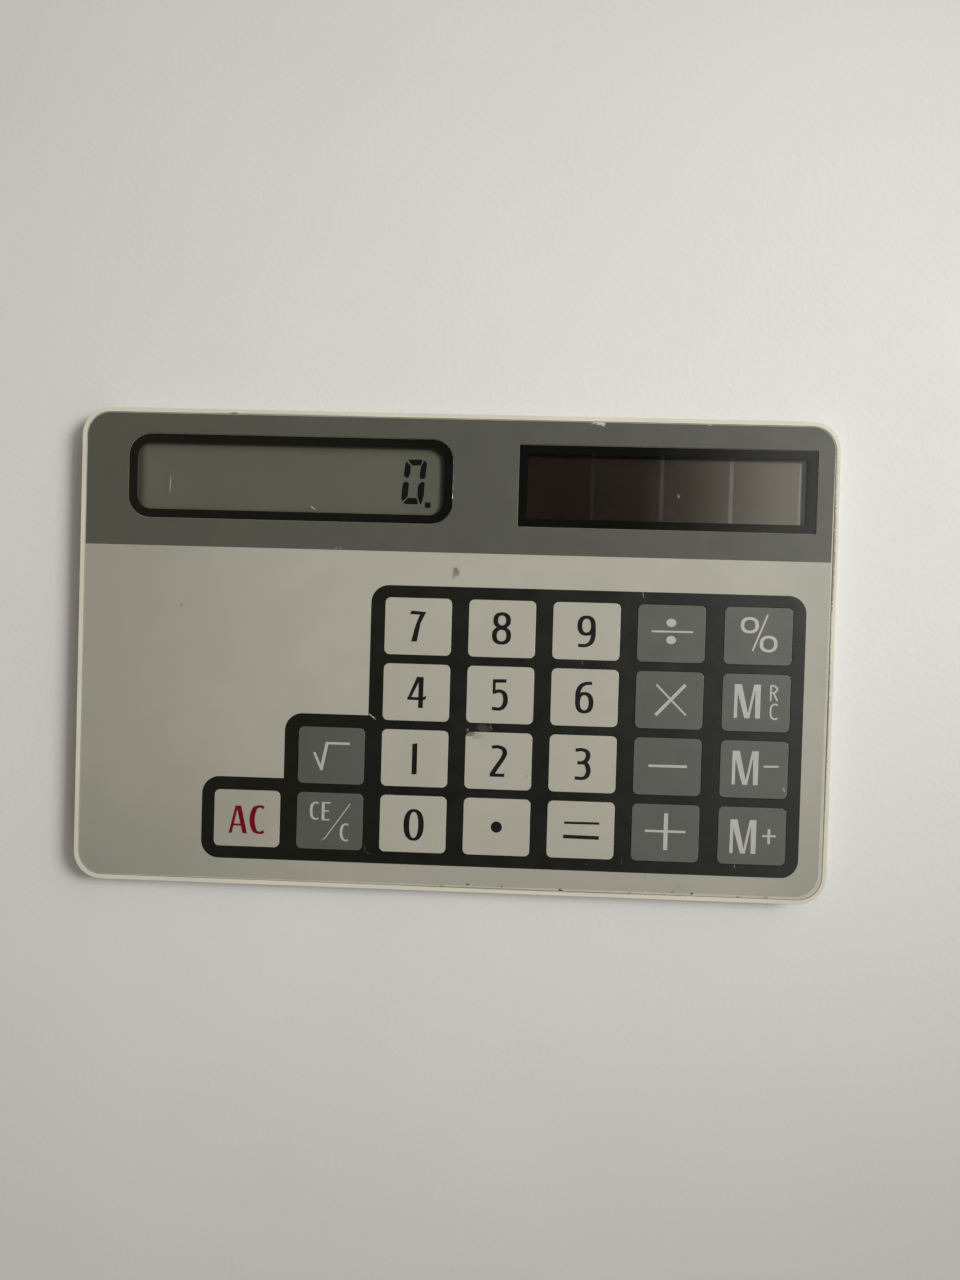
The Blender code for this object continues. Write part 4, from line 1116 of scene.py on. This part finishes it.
class CALCULATOR_OT_solar_cell(bpy.types.Operator):
    """Finishes the solar cell: its glass, its four cells, their backing and its leads"""

    bl_idname = "calculator.solar_cell"
    bl_label = "Solar cell"

    def execute(self, context):
        windows = context.scene.calculator_windows
        body = context.scene.calculator_body
        dress(clear_finish("solar_glass", windows.cell_glass_colour, roughness=0.04), "solar_glass")
        tint = (1.0, 0.93, 0.72, 1.0)
        silicon = finish("solar_silicon", windows.cell_colour, IOR=2.6, Specular_Tint=tint)
        dress(silicon, *(f"solar_cell_{number}" for number in range(1, CELL_COUNT + 1)))
        dress(finish("solar_backing", windows.backing_colour, Metallic=1.0), "solar_backing")
        wire = finish("lead_wire", body.lead_colour, Metallic=1.0)
        dress(wire, "solar_lead_positive", "solar_lead_negative")
        return {"FINISHED"}


class CALCULATOR_OT_inside(bpy.types.Operator):
    """Finishes the sheets, the circuit board, its components and the foam cushions"""

    bl_idname = "calculator.inside"
    bl_label = "Inside"

    def execute(self, context):
        body = context.scene.calculator_body
        dress(finish("adhesive", body.adhesive_colour), "face_adhesive", "rear_adhesive")
        dress(finish("spacer_plastic", body.spacer_colour), "spacer_sheet")
        dress(finish("board_laminate", body.board_colour), "circuit_board")
        dress(finish("black_resin", body.resin_colour), "chip_cover")
        case = finish("component_case", body.component_colour)
        dress(case, "storage_capacitor", "reset_capacitor", "timing_resistor", "limiter_diode")
        dress(finish("foam", body.foam_colour), "display_cushion", "solar_cushion")
        return {"FINISHED"}


class CALCULATOR_OT_stage(bpy.types.Operator):
    """Sets the floor, the dome of light, the key lamp and the camera"""

    bl_idname = "calculator.stage"
    bl_label = "Stage"

    def execute(self, context):
        stage = context.scene.calculator_stage
        self.add_floor(stage)
        self.add_dome(context.scene, stage)
        self.add_lamp(stage)
        self.add_camera(context.scene, stage)
        context.scene.view_settings.view_transform = "Standard"
        return {"FINISHED"}

    def add_floor(self, stage):
        """A wide flat floor of pale paper."""
        shape = bmesh.new()
        bmesh.ops.create_grid(shape, x_segments=8, y_segments=8, size=stage.floor_size / 2)
        mesh = bpy.data.meshes.new("floor")
        shape.to_mesh(mesh)
        shape.free()
        paper = finish("pale_floor", stage.floor_colour)
        self.fade_out(paper, stage)
        mesh.materials.append(paper)
        floor = bpy.data.objects.new("floor", mesh)
        bpy.context.scene.collection.objects.link(floor)

    def fade_out(self, paper, stage):
        """Lets the floor run into the pale backdrop, far from the card."""
        tree = paper.node_tree
        output = next(node for node in tree.nodes if node.type == "OUTPUT_MATERIAL")
        surface = output.inputs["Surface"].links[0].from_socket
        away = length_of(tree, add_node(tree, "ShaderNodeTexCoord").outputs["Object"])
        share = remap(tree, away, stage.floor_fade_start, stage.floor_fade_end, kind="SMOOTHSTEP")
        factor = combine(tree, "MULTIPLY", share, seen_rays(tree))
        backdrop = add_node(tree, "ShaderNodeEmission", {"Color": BACKDROP, "Strength": 1.0})
        mixed = mix_surface(tree, factor, surface, backdrop.outputs["Emission"])
        tree.links.new(mixed, output.inputs["Surface"])

    def add_dome(self, scene, stage):
        """A dome that is brighter to the right of the card and dark straight above it."""
        world = bpy.data.worlds.new("dome")
        world.use_nodes = True
        tree = world.node_tree
        tree.nodes.clear()
        direction = add_node(tree, "ShaderNodeTexCoord").outputs["Generated"]
        parts = add_node(tree, "ShaderNodeSeparateXYZ", {"Vector": direction}).outputs
        ramp = add_node(tree, "ShaderNodeValToRGB", {"Fac": remap(tree, parts["X"], -1.0, 1.0)})
        stops = ramp.color_ramp.elements
        for position, level, blue_share in DOME_LEVELS:
            stop = stops.new(position)
            stop.color = (level, level * (1 + blue_share) / 2, level * blue_share, 1)
        # The two stops that every ramp starts with
        stops.remove(stops[0])
        stops.remove(stops[len(stops) - 1])
        near_side = remap(tree, parts["Y"], *NEAR_SIDE_REACH, stage.near_side, 1.0, "SMOOTHSTEP")
        levels = mix_colour(tree, near_side, BLACK_SHADE, ramp.outputs["Color"])
        mirrored = remap(tree, parts["Z"], *MIRRORED_REACH, 1.0, 0.0, "SMOOTHSTEP")
        colour = mix_colour(tree, seen_rays(tree, mirrored), levels, BACKDROP)
        light = add_node(tree, "ShaderNodeBackground", {"Color": colour, "Strength": stage.world_strength})
        add_node(tree, "ShaderNodeOutputWorld", {"Surface": light.outputs["Background"]})
        scene.world = world

    def add_lamp(self, stage):
        """A soft square lamp at the upper right."""
        light = bpy.data.lights.new("key_lamp", "AREA")
        light.shape = "SQUARE"
        light.size = stage.lamp_size
        light.energy = stage.lamp_power
        light.spread = stage.lamp_spread
        light.color = stage.lamp_colour
        lamp = bpy.data.objects.new("key_lamp", light)
        lamp.location = stage.lamp_place
        aim = Vector(stage.lamp_aim) - Vector(stage.lamp_place)
        lamp.rotation_euler = aim.to_track_quat("-Z", "Y").to_euler()
        bpy.context.scene.collection.objects.link(lamp)

    def add_camera(self, scene, stage):
        """The photo's camera, almost straight above the card."""
        lens = bpy.data.cameras.new("photo_camera")
        lens.lens = PHOTO_FOCAL_PIXELS * lens.sensor_width / PHOTO_HEIGHT_PIXELS
        lens.clip_start = 0.001
        camera = bpy.data.objects.new("photo_camera", lens)
        camera.location = stage.camera_place
        camera.rotation_euler = Euler(stage.camera_turn)
        scene.collection.objects.link(camera)
        scene.camera = camera


class CALCULATOR_PT_panel(bpy.types.Panel):
    """Builds the calculator piece by piece"""

    bl_idname = "CALCULATOR_PT_panel"
    bl_label = "Card Solar Calculator"
    bl_space_type = "VIEW_3D"
    bl_region_type = "UI"
    bl_category = "Calculator"

    def draw(self, context):
        for operator in OPERATORS:
            self.layout.operator(operator.bl_idname)


GROUPS = (
    ("calculator_film", CalculatorFilm),
    ("calculator_keys", CalculatorKeys),
    ("calculator_windows", CalculatorWindows),
    ("calculator_body", CalculatorBody),
    ("calculator_stage", CalculatorStage),
)
OPERATORS = (
    CALCULATOR_OT_stage,
    CALCULATOR_OT_case,
    CALCULATOR_OT_film,
    CALCULATOR_OT_keys,
    CALCULATOR_OT_panes,
    CALCULATOR_OT_display,
    CALCULATOR_OT_solar_cell,
    CALCULATOR_OT_inside,
)


def register():
    for name, group in GROUPS:
        bpy.utils.register_class(group)
        setattr(bpy.types.Scene, name, PointerProperty(type=group))
    for operator in OPERATORS:
        bpy.utils.register_class(operator)
    bpy.utils.register_class(CALCULATOR_PT_panel)


def unregister():
    bpy.utils.unregister_class(CALCULATOR_PT_panel)
    for operator in reversed(OPERATORS):
        bpy.utils.unregister_class(operator)
    for name, group in reversed(GROUPS):
        delattr(bpy.types.Scene, name)
        bpy.utils.unregister_class(group)


def main():
    register()
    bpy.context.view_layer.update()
    bpy.ops.calculator.stage()
    bpy.ops.calculator.case()
    bpy.ops.calculator.film()
    bpy.ops.calculator.keys()
    bpy.ops.calculator.panes()
    bpy.ops.calculator.display()
    bpy.ops.calculator.solar_cell()
    bpy.ops.calculator.inside()


if __name__ == "__main__":
    main()
